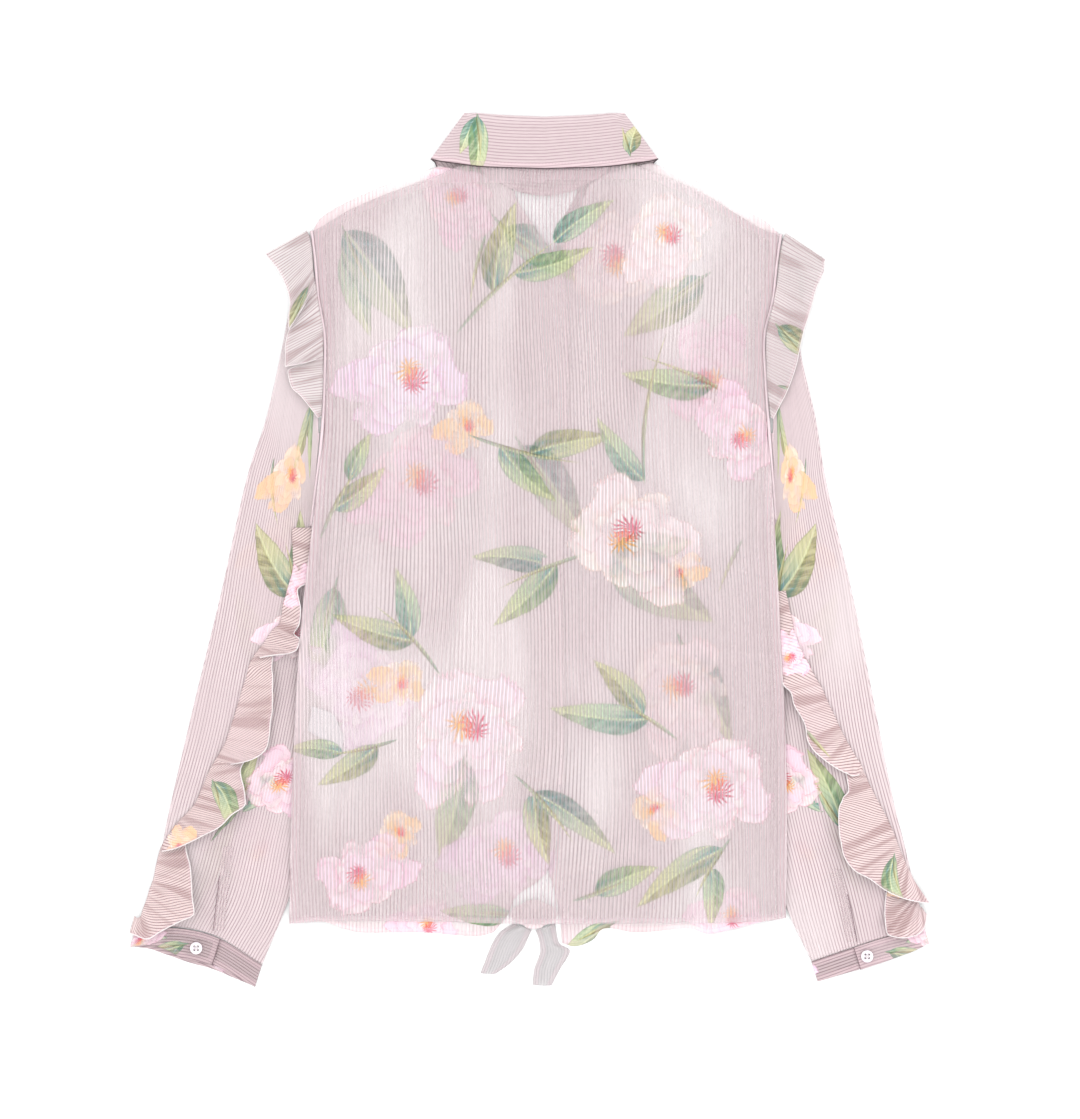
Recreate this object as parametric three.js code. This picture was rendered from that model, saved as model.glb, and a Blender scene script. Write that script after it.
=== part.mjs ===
// A sheer long-sleeved blouse laid flat, back upwards: two fronts tied at the hem, one back, a turned-down
// collar, ruffled wings round the armholes, ruffles down the sleeves and buttoned cuffs.
// Millimetres. X runs across the body, Y from the hem towards the collar, Z up from the surface it lies on.
// Every table is in that garment frame, with Y = 0 at the back hem; the last lines put the origin under the
// middle of the whole blouse. "left" is the wearer's left, on the -X side.
import * as THREE from "three";

// Driving dimensions
const CLOTH = 1.0; // wall of every layer of cloth
const SEAM = 0.3; // clearance between pieces where they are sewn or lie on each other
const ARMHOLE_BOW = 7; // how far a sleeve's open end bows in towards the armhole
const SHOULDER_WRAP = 8; // how far the fronts reach over the shoulder past the back's edge
const BODY_ROOM = 2.2; // extra room between front and back away from the seams
const BODY_ROOM_REACH = 14; // distance from a seam over which that room opens
const SLEEVE_ROOM = 1.3; // room between a sleeve's two layers
const UNDERLAY = CLOTH + SEAM; // how much a layer below lifts the one above
const PLACKET_HALF = 9; // half the width of the fronts' overlap
const PLACKET_LIFT = 1.6; // height of the upper front over the lower one there
const PLACKET_X = 13; // middle of the overlap at the fronts' closing
const BUTTON = { diameter: 10.5, thickness: 2, hole: 1.8, holeSpacing: 3 };
const KNOT = { x: -3, y: 8, halfWidth: 21, halfHeight: 13, height: 7, clearance: 0.5 };
const PLACKET_WIDTH = 9; // sleeve opening's binding

// Mesh density
const BODY_ROWS = 22;
const BACK_COLUMNS = 24;
const FRONT_COLUMNS = 10;
const SLEEVE_RINGS = 20;
const SLEEVE_COLUMNS = 6;

const LEFT = -1;
const RIGHT = 1;

// Outlines, each from the hem or lower end upwards. The left and right edges differ a little, as the
// blouse lies turned by a degree or two at the shoulders.
const SIDE_EDGE = {
  [LEFT]: [
    { x: -213, y: 0 },
    { x: -212, y: 63 },
    { x: -209, y: 153 },
    { x: -206, y: 210 },
    { x: -201, y: 273 },
    { x: -193, y: 341 },
    { x: -184, y: 422 },
  ],
  [RIGHT]: [
    { x: 213, y: 5 },
    { x: 214, y: 63 },
    { x: 213, y: 153 },
    { x: 209, y: 235 },
    { x: 203, y: 347 },
    { x: 198, y: 422 },
  ],
};
const ARMHOLE = {
  [LEFT]: [
    { x: -184, y: 422 },
    { x: -182, y: 465 },
    { x: -182, y: 506 },
    { x: -187, y: 536 },
    { x: -190, y: 570 },
    { x: -193, y: 595 },
  ],
  [RIGHT]: [
    { x: 198, y: 422 },
    { x: 195, y: 465 },
    { x: 194, y: 506 },
    { x: 201, y: 536 },
    { x: 205, y: 570 },
    { x: 208, y: 592 },
  ],
};
// Shoulder line from the armhole to the neck.
const SHOULDER = {
  [LEFT]: [
    { x: -193, y: 595 },
    { x: -186, y: 606 },
    { x: -163, y: 620 },
    { x: -131, y: 634 },
    { x: -84, y: 651 },
  ],
  [RIGHT]: [
    { x: 208, y: 592 },
    { x: 196, y: 603 },
    { x: 178, y: 613 },
    { x: 140, y: 636 },
    { x: 97, y: 654 },
  ],
};
// Back neckline, under the collar, and the back hem, both from left to right.
const BACK_NECK = [
  { x: -50, y: 657 },
  { x: 6, y: 660 },
  { x: 62, y: 659 },
];
const BACK_HEM = [
  { x: -213, y: 0 },
  { x: -186, y: 2 },
  { x: -123, y: 2 },
  { x: 20, y: 0 },
  { x: 190, y: 2 },
  { x: 213, y: 5 },
];
// Each front's closing edge, from the hem at the knot, up the overlap and round the open neck.
const CLOSING_EDGE = {
  [LEFT]: [
    { x: -38, y: -8 },
    { x: -25, y: 8 },
    { x: -19, y: 22 },
    { x: 6, y: 42 },
    { x: 20, y: 90 },
    { x: 22, y: 300 },
    { x: 22, y: 560 },
    { x: 6, y: 586 },
    { x: -15, y: 617 },
    { x: -27, y: 637 },
    { x: -84, y: 651 },
  ],
  [RIGHT]: [
    { x: 21, y: -17 },
    { x: 19, y: 8 },
    { x: 15, y: 26 },
    { x: 8, y: 50 },
    { x: 4, y: 90 },
    { x: 4, y: 300 },
    { x: 4, y: 560 },
    { x: 20, y: 588 },
    { x: 38, y: 619 },
    { x: 46, y: 637 },
    { x: 97, y: 654 },
  ],
};
const FRONT_HEM = {
  [LEFT]: [
    { x: -213, y: 0 },
    { x: -186, y: 2 },
    { x: -156, y: -7 },
    { x: -98, y: -8 },
    { x: -49, y: -11 },
    { x: -38, y: -8 },
  ],
  [RIGHT]: [
    { x: 21, y: -17 },
    { x: 32, y: -20 },
    { x: 48, y: -14 },
    { x: 56, y: -5 },
    { x: 85, y: -8 },
    { x: 133, y: -5 },
    { x: 145, y: -9 },
    { x: 167, y: -5 },
    { x: 190, y: 1 },
    { x: 213, y: 5 },
  ],
};

// Sleeve edges from the armhole to the cuff: the outer fold, and the inner one that runs under the body.
const SLEEVE_OUTER = {
  [LEFT]: [
    { x: -197, y: 592 },
    { x: -205, y: 582 },
    { x: -210, y: 564 },
    { x: -213, y: 534 },
    { x: -234, y: 433 },
    { x: -249, y: 388 },
    { x: -273, y: 282 },
    { x: -295, y: 192 },
    { x: -318, y: 93 },
    { x: -332, y: 26 },
    { x: -347, y: -8.5 },
  ],
  [RIGHT]: [
    { x: 212, y: 589 },
    { x: 220, y: 579 },
    { x: 224, y: 560 },
    { x: 226, y: 494 },
    { x: 239, y: 435 },
    { x: 248, y: 381 },
    { x: 272, y: 278 },
    { x: 289, y: 192 },
    { x: 306, y: 106 },
    { x: 316, y: 66 },
    { x: 332, y: -2.5 },
  ],
};
const SLEEVE_INNER = {
  [LEFT]: [
    { x: -186.5, y: 421 },
    { x: -189.5, y: 385 },
    { x: -189, y: 355 },
    { x: -179, y: 298 },
    { x: -176, y: 230 },
    { x: -179, y: 159 },
    { x: -190, y: 91 },
    { x: -209, y: 31 },
    { x: -236, y: -35.5 },
  ],
  [RIGHT]: [
    { x: 200.5, y: 421 },
    { x: 202.5, y: 385 },
    { x: 200, y: 355 },
    { x: 187, y: 298 },
    { x: 183, y: 230 },
    { x: 184, y: 159 },
    { x: 194, y: 91 },
    { x: 211, y: 20 },
    { x: 235, y: -32.5 },
  ],
};
// Cuff seam from the outer fold to the inner one, and the way its depth runs from there.
const CUFF_SEAM = {
  [LEFT]: [
    { x: -347, y: -8.5 },
    { x: -314, y: -3.5 },
    { x: -277, y: -11 },
    { x: -236, y: -35.5 },
  ],
  [RIGHT]: [
    { x: 332, y: -2.5 },
    { x: 300, y: -11 },
    { x: 269, y: -21 },
    { x: 235, y: -32.5 },
  ],
};
const CUFF_DOWN = { [LEFT]: { x: -0.3, y: -0.95 }, [RIGHT]: { x: 0.3, y: -0.95 } };
// Each cuff is one strip that laps over itself: down the table the strip goes from its buttoned end round the
// outer fold, under the wrist, round the inner fold and under its buttoned end. "along" is the place on the
// cuff seam, "deep" the cuff's depth there.
const CUFF_STRIP = {
  [LEFT]: [
    { along: 0.64, z: 3.1, deep: 23 },
    { along: 0.46, z: 3.1, deep: 26 },
    { along: 0.3, z: 3.1, deep: 20 },
    { along: 0.15, z: 3.1, deep: 14 },
    { along: 0.02, z: 2.9, deep: 12 },
    { along: 0.004, z: 1.8, deep: 12 },
    { along: 0.02, z: 0.7, deep: 12 },
    { along: 0.15, z: 0.5, deep: 17 },
    { along: 0.3, z: 0.5, deep: 24 },
    { along: 0.5, z: 0.5, deep: 28 },
    { along: 0.75, z: 0.5, deep: 25 },
    { along: 0.98, z: 0.6, deep: 20 },
    { along: 0.995, z: 1.15, deep: 20 },
    { along: 0.98, z: 1.7, deep: 20 },
    { along: 0.75, z: 1.8, deep: 22 },
    { along: 0.5, z: 1.8, deep: 24 },
  ],
  [RIGHT]: [
    { along: 0.62, z: 3.1, deep: 20 },
    { along: 0.45, z: 3.1, deep: 20 },
    { along: 0.25, z: 3.1, deep: 19 },
    { along: 0.1, z: 3.1, deep: 17 },
    { along: 0.02, z: 2.9, deep: 15 },
    { along: 0.004, z: 1.8, deep: 15 },
    { along: 0.02, z: 0.7, deep: 15 },
    { along: 0.2, z: 0.5, deep: 19 },
    { along: 0.5, z: 0.5, deep: 20 },
    { along: 0.75, z: 0.5, deep: 19 },
    { along: 0.98, z: 0.6, deep: 18 },
    { along: 0.995, z: 1.15, deep: 18 },
    { along: 0.98, z: 1.7, deep: 18 },
    { along: 0.75, z: 1.8, deep: 19 },
    { along: 0.5, z: 1.8, deep: 20 },
  ],
};
const CUFF_GAP = 0.6; // clearance in plan between a sleeve's end and its cuff
const CUFF_BUTTON = { [LEFT]: { x: -293, y: -21 }, [RIGHT]: { x: 283, y: -28 } };
const CUFF_TOP = 3.6;
// Middle line of the binding beside each sleeve opening, from its top to the cuff.
const SLEEVE_OPENING = {
  [LEFT]: [
    { x: -266, y: 66 },
    { x: -270, y: 28 },
    { x: -274, y: -6 },
  ],
  [RIGHT]: [
    { x: 256, y: 47 },
    { x: 264, y: 15 },
    { x: 270, y: -16 },
  ],
};

// Wing ruffle, from the shoulder fold down the armhole: where it is sewn on, its free edge, and how far the
// upper half stands off the sleeve at that edge.
const WING = {
  [LEFT]: [
    { sewnX: -197, sewnY: 593, freeX: -232, freeY: 573, rise: 0.3 },
    { sewnX: -193.5, sewnY: 577, freeX: -220, freeY: 560, rise: 1.2 },
    { sewnX: -192.5, sewnY: 560, freeX: -214, freeY: 545, rise: 2.6 },
    { sewnX: -191, sewnY: 543, freeX: -212, freeY: 528, rise: 3.4 },
    { sewnX: -187, sewnY: 524, freeX: -211, freeY: 512, rise: 0.8 },
    { sewnX: -184, sewnY: 504, freeX: -215, freeY: 496, rise: 2.2 },
    { sewnX: -184, sewnY: 483, freeX: -215, freeY: 475, rise: 2.8 },
    { sewnX: -184, sewnY: 465, freeX: -211, freeY: 460, rise: 1.4 },
    { sewnX: -184.5, sewnY: 449, freeX: -201, freeY: 448, rise: 1.2 },
    { sewnX: -185.5, sewnY: 436, freeX: -190, freeY: 437, rise: 0.4 },
  ],
  [RIGHT]: [
    { sewnX: 212, sewnY: 591, freeX: 246, freeY: 568, rise: 0.3 },
    { sewnX: 208.5, sewnY: 576, freeX: 241, freeY: 552, rise: 1.6 },
    { sewnX: 207, sewnY: 560, freeX: 236, freeY: 536, rise: 2.6 },
    { sewnX: 205, sewnY: 542, freeX: 231, freeY: 519, rise: 1.4 },
    { sewnX: 199, sewnY: 522, freeX: 227, freeY: 505, rise: 2.4 },
    { sewnX: 196, sewnY: 502, freeX: 223, freeY: 489, rise: 2.8 },
    { sewnX: 196.5, sewnY: 482, freeX: 218, freeY: 473, rise: 1.2 },
    { sewnX: 197, sewnY: 465, freeX: 213, freeY: 459, rise: 1.8 },
    { sewnX: 198.5, sewnY: 449, freeX: 207, freeY: 446, rise: 1 },
    { sewnX: 200, sewnY: 435, freeX: 203, freeY: 434, rise: 0.4 },
  ],
};
const WING_UNDER = 0.5; // middle of the wing's lower half, on the surface

// Sleeve ruffle, from its top under the body down to the cuff: where it is sewn on, its free edge, and how far
// that edge stands off the sleeve. Each rise and fall is one flute.
const SLEEVE_RUFFLE = {
  [LEFT]: [
    { sewnX: -211, sewnY: 340, freeX: -187, freeY: 340, rise: 0.6 },
    { sewnX: -210, sewnY: 308, freeX: -191, freeY: 298, rise: 1.6 },
    { sewnX: -211, sewnY: 286, freeX: -199, freeY: 264, rise: 2.2 },
    { sewnX: -219, sewnY: 270, freeX: -203, freeY: 245, rise: 2.6 },
    { sewnX: -224, sewnY: 259, freeX: -208, freeY: 235, rise: 4 },
    { sewnX: -230, sewnY: 250, freeX: -218, freeY: 231.5, rise: 3.4 },
    { sewnX: -236, sewnY: 241, freeX: -229, freeY: 228.5, rise: 2 },
    { sewnX: -241, sewnY: 233, freeX: -237, freeY: 225.5, rise: 0.8 },
    { sewnX: -245, sewnY: 225, freeX: -238.5, freeY: 220.5, rise: 1 },
    { sewnX: -248, sewnY: 216, freeX: -230, freeY: 210, rise: 2.8 },
    { sewnX: -252, sewnY: 200, freeX: -227, freeY: 194, rise: 4.8 },
    { sewnX: -257, sewnY: 182, freeX: -229, freeY: 170, rise: 4.4 },
    { sewnX: -261, sewnY: 167, freeX: -235, freeY: 151, rise: 3 },
    { sewnX: -266, sewnY: 156, freeX: -250, freeY: 142, rise: 1 },
    { sewnX: -273, sewnY: 142, freeX: -250, freeY: 133, rise: 1.4 },
    { sewnX: -281, sewnY: 129, freeX: -253, freeY: 121, rise: 4 },
    { sewnX: -287, sewnY: 119, freeX: -251, freeY: 105, rise: 5.4 },
    { sewnX: -295, sewnY: 104, freeX: -268, freeY: 85, rise: 5.6 },
    { sewnX: -305, sewnY: 90, freeX: -292, freeY: 70, rise: 4.4 },
    { sewnX: -311, sewnY: 82, freeX: -304, freeY: 67.5, rise: 2.6 },
    { sewnX: -316, sewnY: 73, freeX: -312, freeY: 64, rise: 1 },
    { sewnX: -320, sewnY: 64, freeX: -312.5, freeY: 58.5, rise: 1.2 },
    { sewnX: -324, sewnY: 54, freeX: -300, freeY: 41, rise: 2.6 },
    { sewnX: -327, sewnY: 46, freeX: -296, freeY: 24, rise: 3.6 },
    { sewnX: -330, sewnY: 36, freeX: -298, freeY: 9, rise: 4.6 },
    { sewnX: -334, sewnY: 25, freeX: -318, freeY: -3, rise: 4.6 },
    { sewnX: -339, sewnY: 15, freeX: -334, freeY: -12, rise: 3.4 },
    { sewnX: -344, sewnY: 7, freeX: -351, freeY: -9, rise: 2 },
  ],
  [RIGHT]: [
    { sewnX: 213, sewnY: 286, freeX: 196, freeY: 284, rise: 0.6 },
    { sewnX: 216, sewnY: 264, freeX: 202, freeY: 256, rise: 1.6 },
    { sewnX: 222, sewnY: 246, freeX: 208, freeY: 232, rise: 2.2 },
    { sewnX: 230, sewnY: 228, freeX: 211, freeY: 208, rise: 3.2 },
    { sewnX: 239, sewnY: 210, freeX: 221, freeY: 192, rise: 4.6 },
    { sewnX: 248, sewnY: 192, freeX: 230, freeY: 172, rise: 4.4 },
    { sewnX: 256, sewnY: 176, freeX: 234, freeY: 154, rise: 3.4 },
    { sewnX: 264, sewnY: 160, freeX: 247, freeY: 139, rise: 4.6 },
    { sewnX: 271, sewnY: 147, freeX: 261, freeY: 131, rise: 3.8 },
    { sewnX: 277, sewnY: 138, freeX: 271, freeY: 127, rise: 2 },
    { sewnX: 282, sewnY: 130, freeX: 277.5, freeY: 122.5, rise: 0.8 },
    { sewnX: 286, sewnY: 122, freeX: 278, freeY: 117, rise: 1 },
    { sewnX: 291, sewnY: 112, freeX: 265, freeY: 106, rise: 3 },
    { sewnX: 295, sewnY: 103, freeX: 258, freeY: 90, rise: 4.8 },
    { sewnX: 301, sewnY: 91, freeX: 260, freeY: 73, rise: 5.6 },
    { sewnX: 306, sewnY: 80, freeX: 266, freeY: 55, rise: 5.2 },
    { sewnX: 311, sewnY: 69, freeX: 280, freeY: 40, rise: 4.2 },
    { sewnX: 315, sewnY: 59, freeX: 287, freeY: 21, rise: 3.2 },
    { sewnX: 319, sewnY: 49, freeX: 297, freeY: 0, rise: 4.6 },
    { sewnX: 321, sewnY: 41, freeX: 313, freeY: -8, rise: 4.6 },
    { sewnX: 324, sewnY: 34, freeX: 326, freeY: -3, rise: 3.4 },
    { sewnX: 329, sewnY: 29, freeX: 334, freeY: 8, rise: 2.2 },
  ],
};

// Collar fall, one strip from the middle of the back to a front point: its roll line, its outer edge, the
// height of its middle plane, how far it bulges and how far its roll turns down to the stand. The last half
// lies under the fronts.
const COLLAR_X = 6; // middle of the collar
const COLLAR = [
  { rollX: 0, rollY: 692.5, edgeX: 0, edgeY: 648, z: 7.4, bulge: 2.6, roll: 4.4 },
  { rollX: 36, rollY: 694, edgeX: 49, edgeY: 649.5, z: 7.4, bulge: 2.4, roll: 4.4 },
  { rollX: 56, rollY: 695.5, edgeX: 77, edgeY: 652.5, z: 7.2, bulge: 1.6, roll: 4.2 },
  { rollX: 64.5, rollY: 696, edgeX: 93, edgeY: 655, z: 6.8, bulge: 0.6, roll: 1.2 },
  { rollX: 68.5, rollY: 696, edgeX: 97.5, edgeY: 656.5, z: 4, bulge: 0, roll: 0 },
  { rollX: 65.5, rollY: 694, edgeX: 94.5, edgeY: 654.5, z: 0.9, bulge: 0, roll: 0 },
  { rollX: 57, rollY: 683, edgeX: 88, edgeY: 637, z: 0.5, bulge: 0, roll: 0 },
  { rollX: 38, rollY: 647, edgeX: 74, edgeY: 602, z: 0.5, bulge: 0, roll: 0 },
  { rollX: 21, rollY: 615, edgeX: 58, edgeY: 566, z: 0.5, bulge: 0, roll: 0 },
  { rollX: 7, rollY: 590, edgeX: 43, edgeY: 544, z: 0.5, bulge: 0, roll: 0 },
];
const ROLL_RADIUS = 2.2;
const FULL_ROLL = 4.2;
// Section of the turned edge: distance in from the roll line where it lies flat and where it is rolled, and
// the part of the roll's drop reached there.
const TURNED_EDGE = [
  { flat: 0, rolled: 2.2, drop: 1 },
  { flat: 0.7, rolled: 0.65, drop: 0.82 },
  { flat: 1.2, rolled: 0, drop: 0.5 },
  { flat: 1.7, rolled: 0.65, drop: 0.18 },
];
// Stand: a crescent between fronts and back, from under the roll to its lower curve.
const STAND = [
  { x: 0, top: 688, low: 625 },
  { x: 20, top: 688.2, low: 628 },
  { x: 40, top: 689, low: 637 },
  { x: 52, top: 689.5, low: 645 },
  { x: 62, top: 690, low: 664 },
];

// How far the sleeve and its ruffle lift the body's sides, by height on the body.
const SIDE_LIFT = [
  { y: 0, lift: 3.9 },
  { y: 60, lift: 4.4 },
  { y: 165, lift: 4.8 },
  { y: 205, lift: 8.2 },
  { y: 345, lift: 8.2 },
  { y: 365, lift: 5.4 },
  { y: 384, lift: 4.2 },
  { y: 420, lift: 0 },
];
const SIDE_LIFT_FULL = 36; // it holds this far in from the side seam
const SIDE_LIFT_END = 84; // and has died away here

// Soft folds of the back, each a ridge from one place to another.
const BACK_FOLDS = [
  { fromX: -172, fromY: 10, toX: -176, toY: 170, width: 9, rise: 1.8 },
  { fromX: -92, fromY: 70, toX: -78, toY: 330, width: 13, rise: 2 },
  { fromX: -146, fromY: 260, toX: -150, toY: 420, width: 11, rise: 1.6 },
  { fromX: -38, fromY: 20, toX: -34, toY: 190, width: 12, rise: 1.8 },
  { fromX: 62, fromY: 16, toX: 70, toY: 200, width: 12, rise: 2 },
  { fromX: 128, fromY: 60, toX: 118, toY: 330, width: 14, rise: 2.2 },
  { fromX: 168, fromY: 250, toX: 172, toY: 440, width: 11, rise: 1.6 },
  { fromX: 150, fromY: 14, toX: 158, toY: 130, width: 9, rise: 1.6 },
  { fromX: 84, fromY: 340, toX: 108, toY: 470, width: 16, rise: 1.6 },
  { fromX: -60, fromY: 400, toX: -74, toY: 520, width: 16, rise: 1.4 },
  { fromX: 176, fromY: 470, toX: 196, toY: 545, width: 9, rise: 1.4 },
];
// Gathers of the fronts, running into the knot.
const FRONT_FOLDS = [
  { fromX: -30, fromY: 12, toX: -86, toY: 58, width: 6, rise: 1.5 },
  { fromX: -32, fromY: 4, toX: -98, toY: 18, width: 6, rise: 1.4 },
  { fromX: 24, fromY: 12, toX: 74, toY: 58, width: 6, rise: 1.5 },
  { fromX: 26, fromY: 0, toX: 88, toY: 14, width: 6, rise: 1.4 },
  { fromX: 40, fromY: -14, toX: 46, toY: 8, width: 5, rise: 1.2 },
];
// Folds of the sleeves' upper layers.
const SLEEVE_FOLDS = [
  { fromX: -262, fromY: 0, toX: -240, toY: 150, width: 7, rise: 1 },
  { fromX: -306, fromY: 10, toX: -290, toY: 90, width: 6, rise: 0.8 },
  { fromX: 246, fromY: 6, toX: 240, toY: 110, width: 7, rise: 1 },
  { fromX: 300, fromY: 10, toX: 290, toY: 80, width: 6, rise: 0.8 },
];

// Ties hang from the knot: the left and right edge of each, from the knot down, and the crease's height.
const TIE = {
  [LEFT]: {
    crease: 3,
    rows: [
      { leftX: -21, leftY: 0, rightX: -5, rightY: -5.8 },
      { leftX: -33, leftY: -8.5, rightX: -7.5, rightY: -11 },
      { leftX: -40, leftY: -20, rightX: -12, rightY: -21 },
      { leftX: -45, leftY: -33, rightX: -23, rightY: -34 },
      { leftX: -49, leftY: -43, rightX: -36, rightY: -43.5 },
    ],
  },
  [RIGHT]: {
    crease: 3.4,
    rows: [
      { leftX: -1.5, leftY: -6, rightX: 15, rightY: -0.4 },
      { leftX: 1.5, leftY: -15, rightX: 18.5, rightY: -17 },
      { leftX: 2.5, leftY: -24, rightX: 28, rightY: -24 },
      { leftX: -3, leftY: -41, rightX: 19, rightY: -40 },
      { leftX: -4, leftY: -53, rightX: 12, rightY: -53.5 },
    ],
  },
};
// Care label inside the left side seam: a strip whose end is turned down.
const CARE_LABEL = [
  { topX: -193, topY: 187, lowX: -197, lowY: 166 },
  { topX: -184, topY: 184, lowX: -189, lowY: 161 },
  { topX: -175, topY: 180, lowX: -181, lowY: 156 },
  { topX: -169, topY: 167, lowX: -175, lowY: 150 },
  { topX: -166, topY: 162, lowX: -168, lowY: 145 },
];

const PINK_CHIFFON = { color: 0xefdde2, roughness: 0.75, metalness: 0 };
const PALE_BUTTON = { color: 0xece6ea, roughness: 0.35, metalness: 0 };
const WHITE_LABEL = { color: 0xf8f6f8, roughness: 0.6, metalness: 0 };

const { smoothstep, lerp, clamp } = THREE.MathUtils;

// A smooth curve through the rows of an outline.
function outline(rows) {
  const points = rows.map(({ x, y }) => new THREE.Vector3(x, y, 0));
  return new THREE.CatmullRomCurve3(points, false, "centripetal");
}

// The value of one column of a table where another column reaches "at".
function readTable(rows, key, column, at) {
  const next = rows.findIndex((row) => row[key] >= at);
  if (next === 0) return rows[0][column];
  if (next < 0) return rows[rows.length - 1][column];
  const [low, high] = [rows[next - 1], rows[next]];
  return lerp(low[column], high[column], (at - low[key]) / (high[key] - low[key]));
}

// Slope at a row between two steps: level at a turning point, so that no curve overshoots its table.
function levelSlope(before, after) {
  return before * after <= 0 ? 0 : (2 * before * after) / (before + after);
}

// A row between the rows of a table, every column smoothed through its neighbours.
function rowBetween(rows, fraction) {
  const place = clamp(fraction, 0, 1) * (rows.length - 1);
  const first = Math.min(Math.floor(place), rows.length - 2);
  const t = place - first;
  const [a, b, c, d] = [first - 1, first, first + 1, first + 2].map(
    (index) => rows[clamp(index, 0, rows.length - 1)],
  );
  const row = {};
  for (const column of Object.keys(b)) {
    const step = c[column] - b[column];
    const slopeIn = a === b ? step : levelSlope(b[column] - a[column], step);
    const slopeOut = c === d ? step : levelSlope(step, d[column] - c[column]);
    const square = 3 * step - 2 * slopeIn - slopeOut;
    const cube = slopeIn + slopeOut - 2 * step;
    row[column] = b[column] + t * (slopeIn + t * (square + t * cube));
  }
  return row;
}

// A patch of cloth in plan, stretched between four edges that meet at its corners: (u, v) gives a point.
function stretchedPatch(bottom, top, left, right) {
  const [corner00, corner10] = [bottom.getPointAt(0), bottom.getPointAt(1)];
  const [corner01, corner11] = [top.getPointAt(0), top.getPointAt(1)];
  return (u, v) => {
    const across = bottom.getPointAt(u).multiplyScalar(1 - v).addScaledVector(top.getPointAt(u), v);
    const along = left.getPointAt(v).multiplyScalar(1 - u).addScaledVector(right.getPointAt(v), u);
    return across
      .add(along)
      .addScaledVector(corner00, -(1 - u) * (1 - v))
      .addScaledVector(corner10, -u * (1 - v))
      .addScaledVector(corner01, -(1 - u) * v)
      .addScaledVector(corner11, -u * v);
  };
}

// A closed wall of cloth, half its thickness each side of a grid of points. A ring closes on itself along
// its columns. A point may carry the way its wall faces; otherwise that comes from its neighbours.
function clothWall(grid, ring = false) {
  const rows = grid.length;
  const columns = grid[0].length;
  const columnAt = (c) => (ring ? (c + columns) % columns : clamp(c, 0, columns - 1));
  const pointAt = (r, c) => grid[clamp(r, 0, rows - 1)][columnAt(c)];
  const positions = [];
  for (const side of [0.5, -0.5]) {
    for (let r = 0; r < rows; r += 1) {
      for (let c = 0; c < columns; c += 1) {
        const across = pointAt(r, c + 1).clone().sub(pointAt(r, c - 1));
        const along = pointAt(r + 1, c).clone().sub(pointAt(r - 1, c));
        const facing = grid[r][c].facing ?? across.cross(along).normalize();
        positions.push(...grid[r][c].clone().addScaledVector(facing, side * CLOTH).toArray());
      }
    }
  }
  const half = rows * columns;
  const indices = [];
  const quad = (a, b, c, d) => indices.push(a, b, c, a, c, d);
  const index = (r, c) => r * columns + columnAt(c);
  const cells = ring ? columns : columns - 1;
  for (let r = 0; r < rows - 1; r += 1) {
    for (let c = 0; c < cells; c += 1) {
      const [start, beside] = [index(r, c), index(r, c + 1)];
      const [opposite, above] = [index(r + 1, c + 1), index(r + 1, c)];
      quad(start, beside, opposite, above);
      quad(opposite + half, beside + half, start + half, above + half);
    }
  }
  const rim = (a, b) => quad(a, a + half, b + half, b);
  for (let c = 0; c < cells; c += 1) {
    rim(index(0, c), index(0, c + 1));
    rim(index(rows - 1, c + 1), index(rows - 1, c));
  }
  for (let r = 0; r < rows - 1 && !ring; r += 1) {
    rim(index(r + 1, 0), index(r, 0));
    rim(index(r, columns - 1), index(r + 1, columns - 1));
  }
  const geometry = new THREE.BufferGeometry();
  geometry.setAttribute("position", new THREE.Float32BufferAttribute(positions, 3));
  geometry.setIndex(indices);
  return geometry;
}

function gridOf(rows, columns, pointAt, spread = (u) => u) {
  return Array.from({ length: rows + 1 }, (_, r) =>
    Array.from({ length: columns + 1 }, (_, c) => pointAt(spread(c / columns), r / rows)),
  );
}

// Height that a table of folds adds at a place: a soft ridge that fades out at both ends.
function foldHeight(folds, x, y) {
  let height = 0;
  for (const { fromX, fromY, toX, toY, width, rise } of folds) {
    const [runX, runY] = [toX - fromX, toY - fromY];
    const length = Math.hypot(runX, runY);
    const along = ((x - fromX) * runX + (y - fromY) * runY) / length;
    const aside = ((x - fromX) * runY - (y - fromY) * runX) / length;
    const fade = smoothstep(along, -width, length * 0.25) * (1 - smoothstep(along, length * 0.75, length + width));
    height += rise * fade * Math.exp(-((aside / width) ** 2));
  }
  return height;
}

// Distance in from the nearer side edge or armhole, and down from the shoulder.
function insetFromSides(x, y) {
  const edge = (side) => readTable([...SIDE_EDGE[side], ...ARMHOLE[side].slice(1)], "y", "x", y);
  return Math.max(0, Math.min(x - edge(LEFT), edge(RIGHT) - x));
}

function insetFromShoulder(x, y) {
  const side = x < COLLAR_X ? LEFT : RIGHT;
  const rows = side === LEFT ? SHOULDER[LEFT] : [...SHOULDER[RIGHT]].reverse();
  return Math.max(0, readTable(rows, "x", "y", x) - SHOULDER_WRAP - y);
}

// Underside of the fronts above the surface: the wings and collar leaves lift the top of the body, and the
// sleeves lift its sides.
function floorLift(x, y) {
  const inset = insetFromSides(x, y);
  const sides = readTable(SIDE_LIFT, "y", "lift", y) * (1 - smoothstep(inset, SIDE_LIFT_FULL, SIDE_LIFT_END));
  const collarLeaves = smoothstep(y, 500, 535);
  const armholes = smoothstep(y, 422, 440) * (1 - smoothstep(inset, 4, 40));
  return sides + UNDERLAY * Math.max(collarLeaves, armholes);
}

// Lift of the left front where it lies over the right one.
function overlapLift(x, y) {
  const overlapStart = PLACKET_X - PLACKET_HALF;
  const alongClosing = smoothstep(y, 25, 45) * (1 - smoothstep(y, 588, 618));
  return PLACKET_LIFT * smoothstep(x, overlapStart - 24, overlapStart - 8) * alongClosing;
}

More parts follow.
